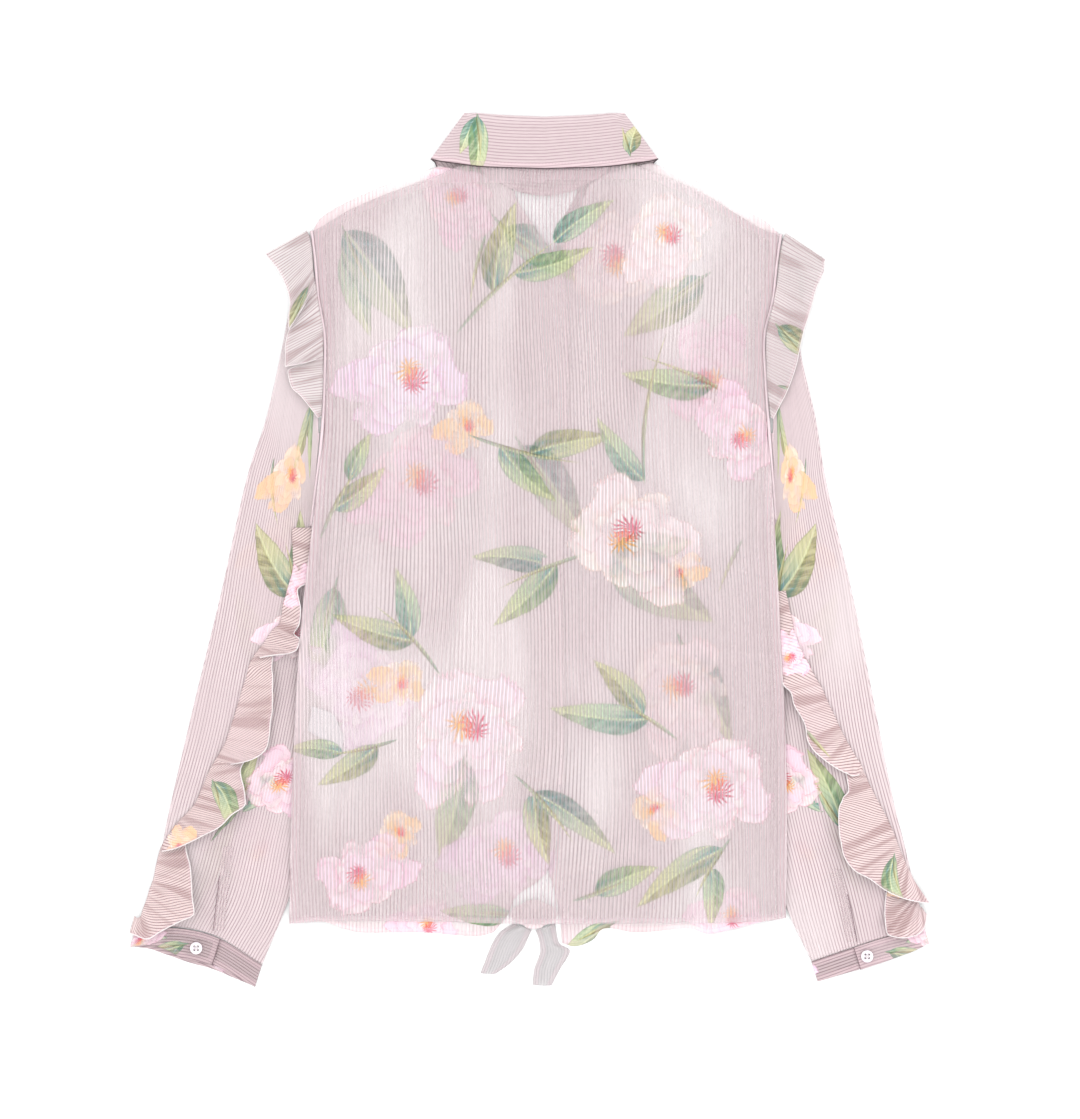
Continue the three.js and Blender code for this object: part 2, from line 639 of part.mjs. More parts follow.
function frontTop(x, y) {
  const pastOverlap = 1 - smoothstep(x, PLACKET_X + PLACKET_HALF + 1, PLACKET_X + 3 * PLACKET_HALF);
  return floorLift(x, y) + CLOTH + overlapLift(x, y) * pastOverlap;
}

// Underside of the back: on the fronts at the seams, clear of them inside, and over the stand and the knot.
function backUnderside(x, y) {
  const inside = smoothstep(Math.min(insetFromSides(x, y), insetFromShoulder(x, y)), 0, BODY_ROOM_REACH);
  const overStand = smoothstep(y, 560, 610) * (1 - smoothstep(Math.abs(x - COLLAR_X), 96, 150));
  const resting = frontTop(x, y) + SEAM + Math.max(BODY_ROOM * inside, UNDERLAY * overStand);
  const knotDistance = Math.hypot((x - KNOT.x) / KNOT.halfWidth, (y - KNOT.y) / KNOT.halfHeight);
  const overKnot = 1 - smoothstep(knotDistance, 1.25, 3.4);
  return lerp(resting, Math.max(resting, KNOT.height + 2 * SEAM), overKnot) + foldHeight(BACK_FOLDS, x, y);
}

function sleeveUnderside(y) {
  return UNDERLAY * smoothstep(y, 385, 425);
}

function sleeveTop(x, y) {
  return sleeveUnderside(y) + 2 * CLOTH + SLEEVE_ROOM + foldHeight(SLEEVE_FOLDS, x, y);
}

function sideOutline(which) {
  return outline([...SIDE_EDGE[which], ...ARMHOLE[which].slice(1)]);
}

function makeBack() {
  const shoulder = (which) =>
    SHOULDER[which].map(({ x, y }, index) => ({ x, y: index === 0 ? y : y - SHOULDER_WRAP }));
  const top = [...shoulder(LEFT), ...BACK_NECK, ...shoulder(RIGHT).reverse()];
  const plan = stretchedPatch(outline(BACK_HEM), outline(top), sideOutline(LEFT), sideOutline(RIGHT));
  const closerAtSides = (u) => u - (0.4 * Math.sin(2 * Math.PI * u)) / (2 * Math.PI);
  const pointAt = (u, v) => {
    const point = plan(u, v);
    return point.setZ(backUnderside(point.x, point.y) + CLOTH / 2);
  };
  return gridOf(BODY_ROWS, BACK_COLUMNS, pointAt, closerAtSides);
}

function makeFront(which) {
  const side = sideOutline(which);
  const closing = outline(CLOSING_EDGE[which]);
  const shoulder = outline(which === LEFT ? SHOULDER[LEFT] : [...SHOULDER[RIGHT]].reverse());
  const hem = outline(FRONT_HEM[which]);
  const edges = which === LEFT ? [side, closing] : [closing, side];
  const plan = stretchedPatch(hem, shoulder, ...edges);
  const closerAtSide = (u) => (which === LEFT ? u ** 1.3 : 1 - (1 - u) ** 1.3);
  const pointAt = (u, v) => {
    const point = plan(u, v);
    const { x, y } = point;
    const overlap = which === LEFT ? overlapLift(x, y) : 0;
    return point.setZ(floorLift(x, y) + overlap + foldHeight(FRONT_FOLDS, x, y) + CLOTH / 2);
  };
  return gridOf(BODY_ROWS, FRONT_COLUMNS, pointAt, closerAtSide);
}

// A sleeve is a flattened tube: rings from the armhole, whose shape its open end takes, to the cuff. Each
// ring turns under at both folds, square to the fold.
function makeSleeve(which) {
  const [outer, inner, cuff] = [SLEEVE_OUTER, SLEEVE_INNER, CUFF_SEAM].map((edge) => outline(edge[which]));
  const [cuffStart, cuffEnd] = [cuff.getPointAt(0), cuff.getPointAt(1)];
  const plan = (u, v) => {
    const cuffBow = cuff.getPointAt(u).sub(cuffStart.clone().lerp(cuffEnd, u));
    const point = outer.getPointAt(v ** 0.7).lerp(inner.getPointAt(v), u).addScaledVector(cuffBow, v ** 3);
    point.x -= which * ARMHOLE_BOW * Math.sin(Math.PI * u) ** 2 * (1 - v) ** 12;
    return point;
  };
  const radius = (CLOTH + SLEEVE_ROOM) / 2;
  // Square to a fold at the armhole, and in line with the cuff seam at the cuff.
  const outward = (edgeTangent, way, alongCuff, v) => {
    const square = new THREE.Vector3(way * edgeTangent.y, -way * edgeTangent.x, 0);
    return square.lerp(alongCuff, v ** 3).normalize();
  };
  const ringAt = (v) => {
    const out = outward(outer.getTangentAt(v ** 0.7), -which, cuff.getTangentAt(0).negate(), v);
    const into = outward(inner.getTangentAt(v), which, cuff.getTangentAt(1), v);
    const place = (u, inset, height, facing) => {
      const point = plan(u, v).addScaledVector(out, -inset * (1 - u)).addScaledVector(into, -inset * u);
      const folds = height > 0 ? foldHeight(SLEEVE_FOLDS, point.x, point.y) : 0;
      point.setZ(sleeveUnderside(point.y) + CLOTH + SLEEVE_ROOM / 2 + height * radius + folds);
      return Object.assign(point, { facing: facing.clone().multiplyScalar(which) });
    };
    const layer = (height) =>
      Array.from({ length: SLEEVE_COLUMNS + 1 }, (_, c) =>
        place(c / SLEEVE_COLUMNS, CLOTH / 2 + radius, height, new THREE.Vector3(0, 0, height)),
      );
    const turn = (u, sideways) =>
      [45, 0, -45].map(THREE.MathUtils.degToRad).map((angle) => {
        const facing = sideways.clone().multiplyScalar(Math.cos(angle)).setZ(Math.sin(angle));
        return place(u, CLOTH / 2 + radius * (1 - Math.cos(angle)), Math.sin(angle), facing);
      });
    return [...layer(1), ...turn(1, into), ...layer(-1).reverse(), ...turn(0, out).reverse()];
  };
  return Array.from({ length: SLEEVE_RINGS + 1 }, (_, r) => ringAt(r / SLEEVE_RINGS));
}

function makeCuff(which) {
  const seam = outline(CUFF_SEAM[which]);
  const down = new THREE.Vector3(CUFF_DOWN[which].x, CUFF_DOWN[which].y, 0);
  return CUFF_STRIP[which].map(({ along, z, deep }) =>
    [0, 0.5, 1].map((depth) =>
      seam.getPointAt(along).addScaledVector(down, CUFF_GAP + depth * deep).setZ(z),
    ),
  );
}

function makeSleeveOpening(which) {
  const line = outline(SLEEVE_OPENING[which]);
  return gridOf(6, 1, (u, v) => {
    const point = line.getPointAt(v);
    point.x += (u - 0.5) * PLACKET_WIDTH;
    return point.setZ(sleeveTop(point.x, point.y) + 2 * SEAM + CLOTH / 2);
  });
}

function makeSleeveRuffle(which) {
  return gridOf(44, 3, (u, v) => {
    const { sewnX, sewnY, freeX, freeY, rise } = rowBetween(SLEEVE_RUFFLE[which], v);
    const [x, y] = [lerp(sewnX, freeX, u), lerp(sewnY, freeY, u)];
    const stand = Math.max(sleeveTop(x, y), sleeveTop(sewnX, sewnY)) + SEAM + CLOTH / 2;
    return new THREE.Vector3(x, y, stand + rise * Math.sin((u * Math.PI) / 2));
  });
}

// A wing is one strip folded over the sleeve's top edge: its lower half lies on the surface, its upper half
// on the sleeve, and a half turn joins them along the shoulder fold.
function makeWing(which) {
  const rows = WING[which];
  const upper = (v, u) => {
    const { sewnX, sewnY, freeX, freeY, rise } = rowBetween(rows, v);
    const [x, y] = [lerp(sewnX, freeX, u), lerp(sewnY, freeY, u)];
    return new THREE.Vector3(x, y, sleeveTop(x, y) + SEAM + CLOTH / 2 + rise * u);
  };
  const lower = (v, u) => upper(v, u).setZ(WING_UNDER);
  const [{ sewnX, sewnY, freeX, freeY }] = rows;
  const outward = new THREE.Vector3(which * (sewnY - freeY), which * (freeX - sewnX), 0).normalize();
  const halfTurn = (degrees, u) => {
    const [top, low] = [upper(0, u), lower(0, u)];
    const radius = (top.z - low.z) / 2;
    const angle = THREE.MathUtils.degToRad(degrees);
    return low
      .setZ((top.z + low.z) / 2 + radius * Math.sin(angle))
      .addScaledVector(outward, radius * Math.cos(angle));
  };
  const steps = Array.from({ length: 13 }, (_, step) => step / 12);
  const acrossWing = (pointAt) => [0, 1 / 3, 2 / 3, 1].map(pointAt);
  return [
    ...steps.toReversed().map((v) => acrossWing((u) => lower(v, u))),
    ...[-60, -30, 0, 30, 60].map((degrees) => acrossWing((u) => halfTurn(degrees, u))),
    ...steps.map((v) => acrossWing((u) => upper(v, u))),
  ];
}

// The fall's section at one place along it: the turned edge, the roll and the leaf down to its outer edge.
function collarSection({ rollX, rollY, edgeX, edgeY, z, bulge, roll }, side) {
  const rollLine = new THREE.Vector3(COLLAR_X + side * rollX, rollY, 0);
  const edge = new THREE.Vector3(COLLAR_X + side * edgeX, edgeY, 0);
  const toEdge = edge.clone().sub(rollLine).normalize();
  const turned = TURNED_EDGE.map(({ flat, rolled, drop }) => {
    const inset = lerp(flat, rolled, Math.min(1, roll / FULL_ROLL));
    return rollLine.clone().addScaledVector(toEdge, inset).setZ(z - roll * drop);
  });
  const leaf = [0, 0.25, 0.5, 0.75, 1].map((t) => {
    const start = rollLine.clone().addScaledVector(toEdge, ROLL_RADIUS);
    return start.lerp(edge, t).setZ(z + bulge * Math.sin(Math.PI * t) - bulge * 0.35 * t);
  });
  return [...turned, ...leaf];
}

function makeCollarFall() {
  const half = (side) =>
    Array.from({ length: 22 }, (_, step) => collarSection(rowBetween(COLLAR, step / 21), side));
  return [...half(LEFT).reverse(), ...half(RIGHT).slice(1)];
}

function makeCollarStand() {
  const rows = [...STAND.toReversed().map((row) => ({ ...row, x: -row.x })), ...STAND.slice(1)];
  return gridOf(12, 3, (u, v) => {
    const { x, top, low } = rowBetween(rows, v);
    const y = lerp(top, low, u);
    return new THREE.Vector3(COLLAR_X + x, y, UNDERLAY + CLOTH + SEAM + CLOTH / 2);
  });
}

function makeTie(which) {
  const { crease, rows } = TIE[which];
  return gridOf(8, 4, (u, v) => {
    const { leftX, leftY, rightX, rightY } = rowBetween(rows, v);
    const height = crease * Math.sin(Math.PI * u) ** 2;
    return new THREE.Vector3(lerp(leftX, rightX, u), lerp(leftY, rightY, u), CLOTH / 2 + height);
  });
}

// The knot is a soft flattened bead with the turn of the tie raised round its middle.
function makeKnot() {
  const geometry = new THREE.SphereGeometry(1, 16, 10);
  const position = geometry.attributes.position;
  for (let i = 0; i < position.count; i += 1) {
    const band = 1 - 0.16 * smoothstep(Math.abs(position.getX(i)), 0.3, 0.45);
    position.setXYZ(
      i,
      KNOT.x + (KNOT.halfWidth - KNOT.clearance) * position.getX(i),
      KNOT.y + (KNOT.halfHeight - KNOT.clearance) * band * position.getY(i),
      (KNOT.height / 2) * (1 + band * position.getZ(i)),
    );
  }
  return geometry;
}

function makeCareLabel() {
  return gridOf(8, 2, (u, v) => {
    const { topX, topY, lowX, lowY } = rowBetween(CARE_LABEL, v);
    const [x, y] = [lerp(topX, lowX, u), lerp(topY, lowY, u)];
    return new THREE.Vector3(x, y, frontTop(x, y) + BODY_ROOM / 2 - SEAM / 2 + CLOTH / 2);
  });
}

// A four-hole shirt button.
function makeButton() {
  const { diameter, thickness, hole, holeSpacing } = BUTTON;
  const face = new THREE.Shape().absarc(0, 0, diameter / 2, 0, 2 * Math.PI);
  for (const across of [-0.5, 0.5]) {
    for (const along of [-0.5, 0.5]) {
      const edge = new THREE.Path();
      face.holes.push(edge.absarc(across * holeSpacing, along * holeSpacing, hole / 2, 0, 2 * Math.PI));
    }
  }
  return new THREE.ExtrudeGeometry(face, { depth: thickness, bevelEnabled: false, curveSegments: 8 });
}

function addPiece(name, geometry, finish) {
  const mesh = new THREE.Mesh(geometry, new THREE.MeshStandardMaterial(finish));
  mesh.name = name;
  blouse.add(mesh);
  return mesh;
}

const blouse = new THREE.Group();
addPiece("back", clothWall(makeBack()), PINK_CHIFFON);
addPiece("collar_fall", clothWall(makeCollarFall()), PINK_CHIFFON);
addPiece("collar_stand", clothWall(makeCollarStand()), PINK_CHIFFON);
for (const [which, name] of [
  [LEFT, "left"],
  [RIGHT, "right"],
]) {
  addPiece(`front_${name}`, clothWall(makeFront(which)), PINK_CHIFFON);
  addPiece(`sleeve_${name}`, clothWall(makeSleeve(which), true), PINK_CHIFFON);
  addPiece(`sleeve_ruffle_${name}`, clothWall(makeSleeveRuffle(which)), PINK_CHIFFON);
  addPiece(`sleeve_placket_${name}`, clothWall(makeSleeveOpening(which)), PINK_CHIFFON);
  addPiece(`shoulder_ruffle_${name}`, clothWall(makeWing(which)), PINK_CHIFFON);
  addPiece(`cuff_${name}`, clothWall(makeCuff(which)), PINK_CHIFFON);
  addPiece(`tie_${name}`, clothWall(makeTie(which)), PINK_CHIFFON);
  const button = addPiece(`cuff_button_${name}`, makeButton(), PALE_BUTTON);
  button.position.set(CUFF_BUTTON[which].x, CUFF_BUTTON[which].y, CUFF_TOP + SEAM);
}
addPiece("tie_knot", makeKnot(), PINK_CHIFFON);
addPiece("care_label", clothWall(makeCareLabel()), WHITE_LABEL);

const box = new THREE.Box3().setFromObject(blouse);
const centre = box.getCenter(new THREE.Vector3());
blouse.position.set(-centre.x, -centre.y, -box.min.z);

export default blouse;
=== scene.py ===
"""A sheer, finely striped blouse with ruffles, laid flat with its back up.

Every table is in the garment's own frame, in millimetres: X across the body, Y from the back hem (0) to the
collar, Z up from the surface. LEFT is the wearer's left, on the -X side. Meshes are placed in metres, in the
model's frame, by the button that both share.
"""
import math
from collections import namedtuple

import bpy
import numpy as np
from bpy.props import FloatProperty, FloatVectorProperty, PointerProperty
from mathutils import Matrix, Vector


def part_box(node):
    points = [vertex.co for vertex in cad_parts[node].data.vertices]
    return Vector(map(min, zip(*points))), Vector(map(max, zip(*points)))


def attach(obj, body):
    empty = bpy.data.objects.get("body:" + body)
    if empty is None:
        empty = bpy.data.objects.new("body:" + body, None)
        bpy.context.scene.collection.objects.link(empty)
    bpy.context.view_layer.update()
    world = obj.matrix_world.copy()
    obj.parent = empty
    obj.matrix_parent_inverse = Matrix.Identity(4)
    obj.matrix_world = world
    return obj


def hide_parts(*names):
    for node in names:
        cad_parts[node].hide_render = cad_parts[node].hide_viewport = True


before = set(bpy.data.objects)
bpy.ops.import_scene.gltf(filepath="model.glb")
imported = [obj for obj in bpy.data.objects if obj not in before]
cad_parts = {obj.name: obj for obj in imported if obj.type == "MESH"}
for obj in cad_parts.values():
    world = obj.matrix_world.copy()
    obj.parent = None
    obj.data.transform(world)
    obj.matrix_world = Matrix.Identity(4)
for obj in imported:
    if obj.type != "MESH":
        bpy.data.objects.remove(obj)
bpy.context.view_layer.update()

bl_info = {
    "name": "Ruffled Chiffon Blouse",
    "version": (1, 0, 0),
    "blender": (4, 5, 0),
    "location": "View3D > Sidebar > Blouse",
    "description": "Dresses the blouse's solids in striped, printed chiffon and sets the stage",
    "category": "Add Mesh",
}

LEFT, RIGHT = -1, 1
SIDES = ((LEFT, "left"), (RIGHT, "right"))
MM = 0.001
FULL_TURN = 2 * math.pi

# The solids' own sizes, in mm: the wall, the clearance at seams and the room between layers.
CLOTH = 1.0
SEAM = 0.3
UNDERLAY = CLOTH + SEAM
BODY_ROOM, BODY_ROOM_REACH = 2.2, 14
SLEEVE_ROOM = 1.3
SHOULDER_WRAP = 8
PLACKET_X, PLACKET_HALF, PLACKET_LIFT = 13, 9, 1.6
ARMHOLE_BOW = 7
# x, y, half width, half height, height
KNOT = (-3, 8, 21, 13, 7)
# x, y
SIDE_EDGE = {
    LEFT: (
        (-213, 0), (-212, 63), (-209, 153), (-206, 210), (-201, 273), (-193, 341), (-184, 422),
    ),
    RIGHT: (
        (213, 5), (214, 63), (213, 153), (209, 235), (203, 347), (198, 422),
    ),
}
# x, y
ARMHOLE = {
    LEFT: (
        (-184, 422), (-182, 465), (-182, 506), (-187, 536), (-190, 570), (-193, 595),
    ),
    RIGHT: (
        (198, 422), (195, 465), (194, 506), (201, 536), (205, 570), (208, 592),
    ),
}
# x, y
SHOULDER = {
    LEFT: (
        (-193, 595), (-186, 606), (-163, 620), (-131, 634), (-84, 651),
    ),
    RIGHT: (
        (208, 592), (196, 603), (178, 613), (140, 636), (97, 654),
    ),
}
# x, y
BACK_NECK = (
    (-50, 657), (6, 660), (62, 659),
)
BACK_HEM = (
    (-213, 0), (-186, 2), (-123, 2), (20, 0), (190, 2), (213, 5),
)
CLOSING_EDGE = {
    LEFT: (
        (-38, -8), (-25, 8), (-19, 22), (6, 42), (20, 90), (22, 300), (22, 560), (6, 586), (-15, 617),
        (-27, 637), (-84, 651),
    ),
    RIGHT: (
        (21, -17), (19, 8), (15, 26), (8, 50), (4, 90), (4, 300), (4, 560), (20, 588), (38, 619), (46, 637),
        (97, 654),
    ),
}
# x, y
FRONT_HEM = {
    LEFT: (
        (-213, 0), (-186, 2), (-156, -7), (-98, -8), (-49, -11), (-38, -8),
    ),
    RIGHT: (
        (21, -17), (32, -20), (48, -14), (56, -5), (85, -8), (133, -5), (145, -9), (167, -5), (190, 1),
        (213, 5),
    ),
}
# x, y
SLEEVE_OUTER = {
    LEFT: (
        (-197, 592), (-205, 582), (-210, 564), (-213, 534), (-234, 433), (-249, 388), (-273, 282), (-295, 192),
        (-318, 93), (-332, 26), (-347, -8.5),
    ),
    RIGHT: (
        (212, 589), (220, 579), (224, 560), (226, 494), (239, 435), (248, 381), (272, 278), (289, 192),
        (306, 106), (316, 66), (332, -2.5),
    ),
}
# x, y
SLEEVE_INNER = {
    LEFT: (
        (-186.5, 421), (-189.5, 385), (-189, 355), (-179, 298), (-176, 230), (-179, 159), (-190, 91),
        (-209, 31), (-236, -35.5),
    ),
    RIGHT: (
        (200.5, 421), (202.5, 385), (200, 355), (187, 298), (183, 230), (184, 159), (194, 91), (211, 20),
        (235, -32.5),
    ),
}
# x, y
CUFF_SEAM = {
    LEFT: (
        (-347, -8.5), (-314, -3.5), (-277, -11), (-236, -35.5),
    ),
    RIGHT: (
        (332, -2.5), (300, -11), (269, -21), (235, -32.5),
    ),
}
# along, z, deep
CUFF_STRIP = {
    LEFT: (
        (0.64, 3.1, 23), (0.46, 3.1, 26), (0.3, 3.1, 20), (0.15, 3.1, 14), (0.02, 2.9, 12), (0.004, 1.8, 12),
        (0.02, 0.7, 12), (0.15, 0.5, 17), (0.3, 0.5, 24), (0.5, 0.5, 28), (0.75, 0.5, 25), (0.98, 0.6, 20),
        (0.995, 1.15, 20), (0.98, 1.7, 20), (0.75, 1.8, 22), (0.5, 1.8, 24),
    ),
    RIGHT: (
        (0.62, 3.1, 20), (0.45, 3.1, 20), (0.25, 3.1, 19), (0.1, 3.1, 17), (0.02, 2.9, 15), (0.004, 1.8, 15),
        (0.02, 0.7, 15), (0.2, 0.5, 19), (0.5, 0.5, 20), (0.75, 0.5, 19), (0.98, 0.6, 18), (0.995, 1.15, 18),
        (0.98, 1.7, 18), (0.75, 1.8, 19), (0.5, 1.8, 20),
    ),
}
CUFF_GAP = 0.6
# x, y
SLEEVE_OPENING = {
    LEFT: (
        (-266, 66), (-270, 28), (-274, -6),
    ),
    RIGHT: (
        (256, 47), (264, 15), (270, -16),
    ),
}
# sewnX, sewnY, freeX, freeY
WING = {
    LEFT: (
        (-197, 593, -232, 573), (-193.5, 577, -220, 560), (-192.5, 560, -214, 545),
        (-191, 543, -212, 528), (-187, 524, -211, 512), (-184, 504, -215, 496),
        (-184, 483, -215, 475), (-184, 465, -211, 460), (-184.5, 449, -201, 448),
        (-185.5, 436, -190, 437),
    ),
    RIGHT: (
        (212, 591, 246, 568), (208.5, 576, 241, 552), (207, 560, 236, 536),
        (205, 542, 231, 519), (199, 522, 227, 505), (196, 502, 223, 489),
        (196.5, 482, 218, 473), (197, 465, 213, 459), (198.5, 449, 207, 446),
        (200, 435, 203, 434),
    ),
}
WING_UNDER = 0.5
# How a gathered edge waves: how often, how high, how much of its rise counts, and its random seed.
RUFFLE_FLUTES, WING_FLUTES = (76, 0.3, 5, 7), (40, 0.26, 4, 11)
# The gathers at the cuff: height, turns along the strip, and the height over which they show.
CUFF_GATHERS = (0.35, 150, 2.5)
# How the back's columns crowd to its sides, and how a sleeve's rows crowd to its top.
BACK_EASE, SLEEVE_EASE = 0.4, 0.7
# How finely each piece is meshed.
GRIDS = {
    "back": (200, 132), "front": (180, 72), "sleeve": (170, 44, 7), "sleeve_opening": (40, 10),
    "sleeve_ruffle": (420, 18), "wing": (150, 12, 14), "collar_fall": (90, 10, 20), "collar_stand": (60, 16),
    "cuff": (220, 14), "tie": (60, 30), "care_label": (60, 24), "armhole_seam": 90,
}
COLLAR_X = 6
# rollX, rollY, edgeX, edgeY, z, bulge, roll
COLLAR = (
    (0, 692.5, 0, 648, 7.4, 2.6, 4.4), (36, 694, 49, 649.5, 7.4, 2.4, 4.4),
    (56, 695.5, 77, 652.5, 7.2, 1.6, 4.2), (64.5, 696, 93, 655, 6.8, 0.6, 1.2),
    (68.5, 696, 97.5, 656.5, 4, 0, 0), (65.5, 694, 94.5, 654.5, 0.9, 0, 0), (57, 683, 88, 637, 0.5, 0, 0),
    (38, 647, 74, 602, 0.5, 0, 0), (21, 615, 58, 566, 0.5, 0, 0), (7, 590, 43, 544, 0.5, 0, 0),
)
ROLL_RADIUS = 2.2
FULL_ROLL = 4.2
# flat, rolled, drop
TURNED_EDGE = (
    (0, 2.2, 1), (0.7, 0.65, 0.82), (1.2, 0, 0.5), (1.7, 0.65, 0.18),
)
# x, top, low
STAND = (
    (0, 688, 625), (20, 688.2, 628), (40, 689, 637), (52, 689.5, 645), (62, 690, 664),
)
# y, lift
SIDE_LIFT = (
    (0, 3.9), (60, 4.4), (165, 4.8), (205, 8.2), (345, 8.2), (365, 5.4), (384, 4.2), (420, 0),
)
SIDE_LIFT_FULL, SIDE_LIFT_END = 36, 84
# Where the layers above or below one another start and stop making room, in mm, or in knot sizes.
ARMHOLE_RISE, ARMHOLE_REACH = (422, 440), (4, 40)
TOP_RISE = (500, 535)
CLOSING_START, CLOSING_END = (25, 45), (588, 618)
OVERLAP_RAMP = (24, 8)
STAND_RISE, STAND_REACH = (560, 610), (96, 150)
KNOT_REACH = (1.25, 3.4)
SLEEVE_RISE = (385, 425)
# fromX, fromY, toX, toY, width, rise
BACK_FOLDS = (
    (-172, 10, -176, 170, 9, 1.8), (-92, 70, -78, 330, 13, 2), (-146, 260, -150, 420, 11, 1.6),
    (-38, 20, -34, 190, 12, 1.8), (62, 16, 70, 200, 12, 2), (128, 60, 118, 330, 14, 2.2),
    (168, 250, 172, 440, 11, 1.6), (150, 14, 158, 130, 9, 1.6), (84, 340, 108, 470, 16, 1.6),
    (-60, 400, -74, 520, 16, 1.4), (176, 470, 196, 545, 9, 1.4),
)
# fromX, fromY, toX, toY, width, rise
FRONT_FOLDS = (
    (-30, 12, -86, 58, 6, 1.5), (-32, 4, -98, 18, 6, 1.4), (24, 12, 74, 58, 6, 1.5), (26, 0, 88, 14, 6, 1.4),
    (40, -14, 46, 8, 5, 1.2),
)
# fromX, fromY, toX, toY, width, rise
SLEEVE_FOLDS = (
    (-262, 0, -240, 150, 7, 1), (-306, 10, -290, 90, 6, 0.8), (246, 6, 240, 110, 7, 1),
    (300, 10, 290, 80, 6, 0.8),
)
# topX, topY, lowX, lowY
CARE_LABEL = (
    (-193, 187, -197, 166), (-184, 184, -189, 161), (-175, 180, -181, 156), (-169, 167, -175, 150),
    (-166, 162, -168, 145),
)
CUFF_DOWN = {LEFT: (-0.3, -0.95), RIGHT: (0.3, -0.95)}
LEFT_BUTTON = (-293, -21)
# left x, left y, right x, right y
TIE = {
    LEFT: (
        (-21, 0, -5, -5.8), (-33, -8.5, -7.5, -11), (-40, -20, -12, -21), (-45, -33, -23, -34),
        (-49, -43, -36, -43.5),
    ),
    RIGHT: (
        (-1.5, -6, 15, -0.4), (1.5, -15, 18.5, -17), (2.5, -24, 28, -24), (-3, -41, 19, -40),
        (-4, -53, 12, -53.5),
    ),
}
TIE_CREASE = {LEFT: 3, RIGHT: 3.4}
# How the ruffles' cloth itself lies: each lobe's free edge sweeps back to the seam over the next one, which
# comes out from under it.
# sewnX, sewnY, freeX, freeY, rise
RUFFLE_LOBES = {
    LEFT: (
        (-211, 340, -187, 340, 0.6), (-210, 308, -191, 298, 1.6), (-214, 290, -206, 286, 3.2),
        (-219, 272, -203, 270, 5.2), (-220, 262, -204, 258, 5.6), (-223, 256, -209, 249, 1.6),
        (-228, 252, -204, 244, 4.6), (-232, 246, -206, 236, 6), (-236, 240, -214, 232, 5.4),
        (-240, 235, -228, 230.5, 4.2), (-243, 231, -238, 228.5, 2), (-244, 229, -235, 229, 0.5),
        (-246, 226, -227, 230, 0.8), (-248, 221, -228, 219, 2.6), (-250, 212, -227, 213, 5.4),
        (-254, 200, -227, 200, 6.8), (-258, 186, -227, 186, 6.4), (-262, 174, -229, 174, 3.6),
        (-265, 164, -230, 162, 3.4), (-268, 156, -232, 152, 5.2), (-271, 150, -238, 145, 6.4),
        (-274, 145, -250, 139.5, 5.4), (-277, 140, -263, 137, 2.2), (-279, 137, -261, 137.5, 0.5),
        (-281, 133, -252, 139, 0.8), (-284, 127, -255, 131, 2.8), (-287, 119, -252, 118, 6),
        (-290, 112, -250, 104, 8.4), (-295, 102, -262, 94, 8.8), (-302, 94, -272, 84, 8.2),
        (-309, 87, -288, 75.5, 7.6), (-314, 80, -302, 68.5, 6.6), (-319, 73, -314, 64, 5),
        (-323, 66, -322, 62.5, 2.6), (-324, 64, -317, 63.5, 0.5), (-325, 61, -303, 68, 0.8),
        (-326, 57, -301, 61, 2.4), (-328, 48, -297, 45, 5.4), (-330, 38, -296, 28, 7.6),
        (-333, 30, -294, 10, 8.6), (-336, 20, -308, 2, 8.2), (-339, 12, -322, -5.5, 6.8),
        (-341, 6, -335, -12.5, 4.8), (-344, 5, -345, -9.5, 2.6), (-346, 7, -350, -8, 1.2),
    ),
    RIGHT: (
        (213, 286, 196, 284, 0.6), (217, 268, 203, 262, 2), (221, 250, 207, 240, 3.4), (226, 236, 208, 226, 2.2),
        (232, 225, 209, 214, 2.8), (238, 213, 211, 205, 5.4), (244, 203, 217, 199, 6), (248, 194, 220, 188, 6),
        (252, 185, 226, 178, 5), (256, 177, 230, 169, 3.4), (259, 170, 231, 160, 3.8), (262, 164, 236, 150, 6.4),
        (265, 158, 246, 141, 7.4), (269, 151, 256, 134, 7.2), (273, 144, 265, 129.5, 5.6),
        (277, 138, 271, 127, 3.2), (279, 134, 276, 128, 1.4), (280, 131, 272, 127.5, 0.5),
        (282, 127, 265, 129, 0.8), (284, 122, 267, 115, 2.6), (287, 116, 262, 108, 5.2), (291, 108, 258, 96, 7.6),
        (297, 97, 258, 84, 8.6), (302, 87, 260, 70, 8.8), (306, 78, 262, 60, 9), (309, 70, 271, 47, 9),
        (312, 62, 285, 39, 8.4), (315, 55, 298, 29.5, 7.8), (318, 48, 312, 23, 6.8), (321, 42, 328, 19, 5),
        (323, 37, 336, 18, 3.2), (324, 34, 328, 19.5, 0.8), (324, 32, 312, 23.5, 0.7), (325, 29, 300, 28, 0.9),
        (325, 26, 298, 8, 3.2), (326, 22, 300, -8, 5.4), (327, 19, 312, -11.5, 5.8), (328, 16, 324, -9.5, 5.2),
        (329, 14, 332, -2, 3.6), (330, 14, 334, 8, 2),
    ),
}
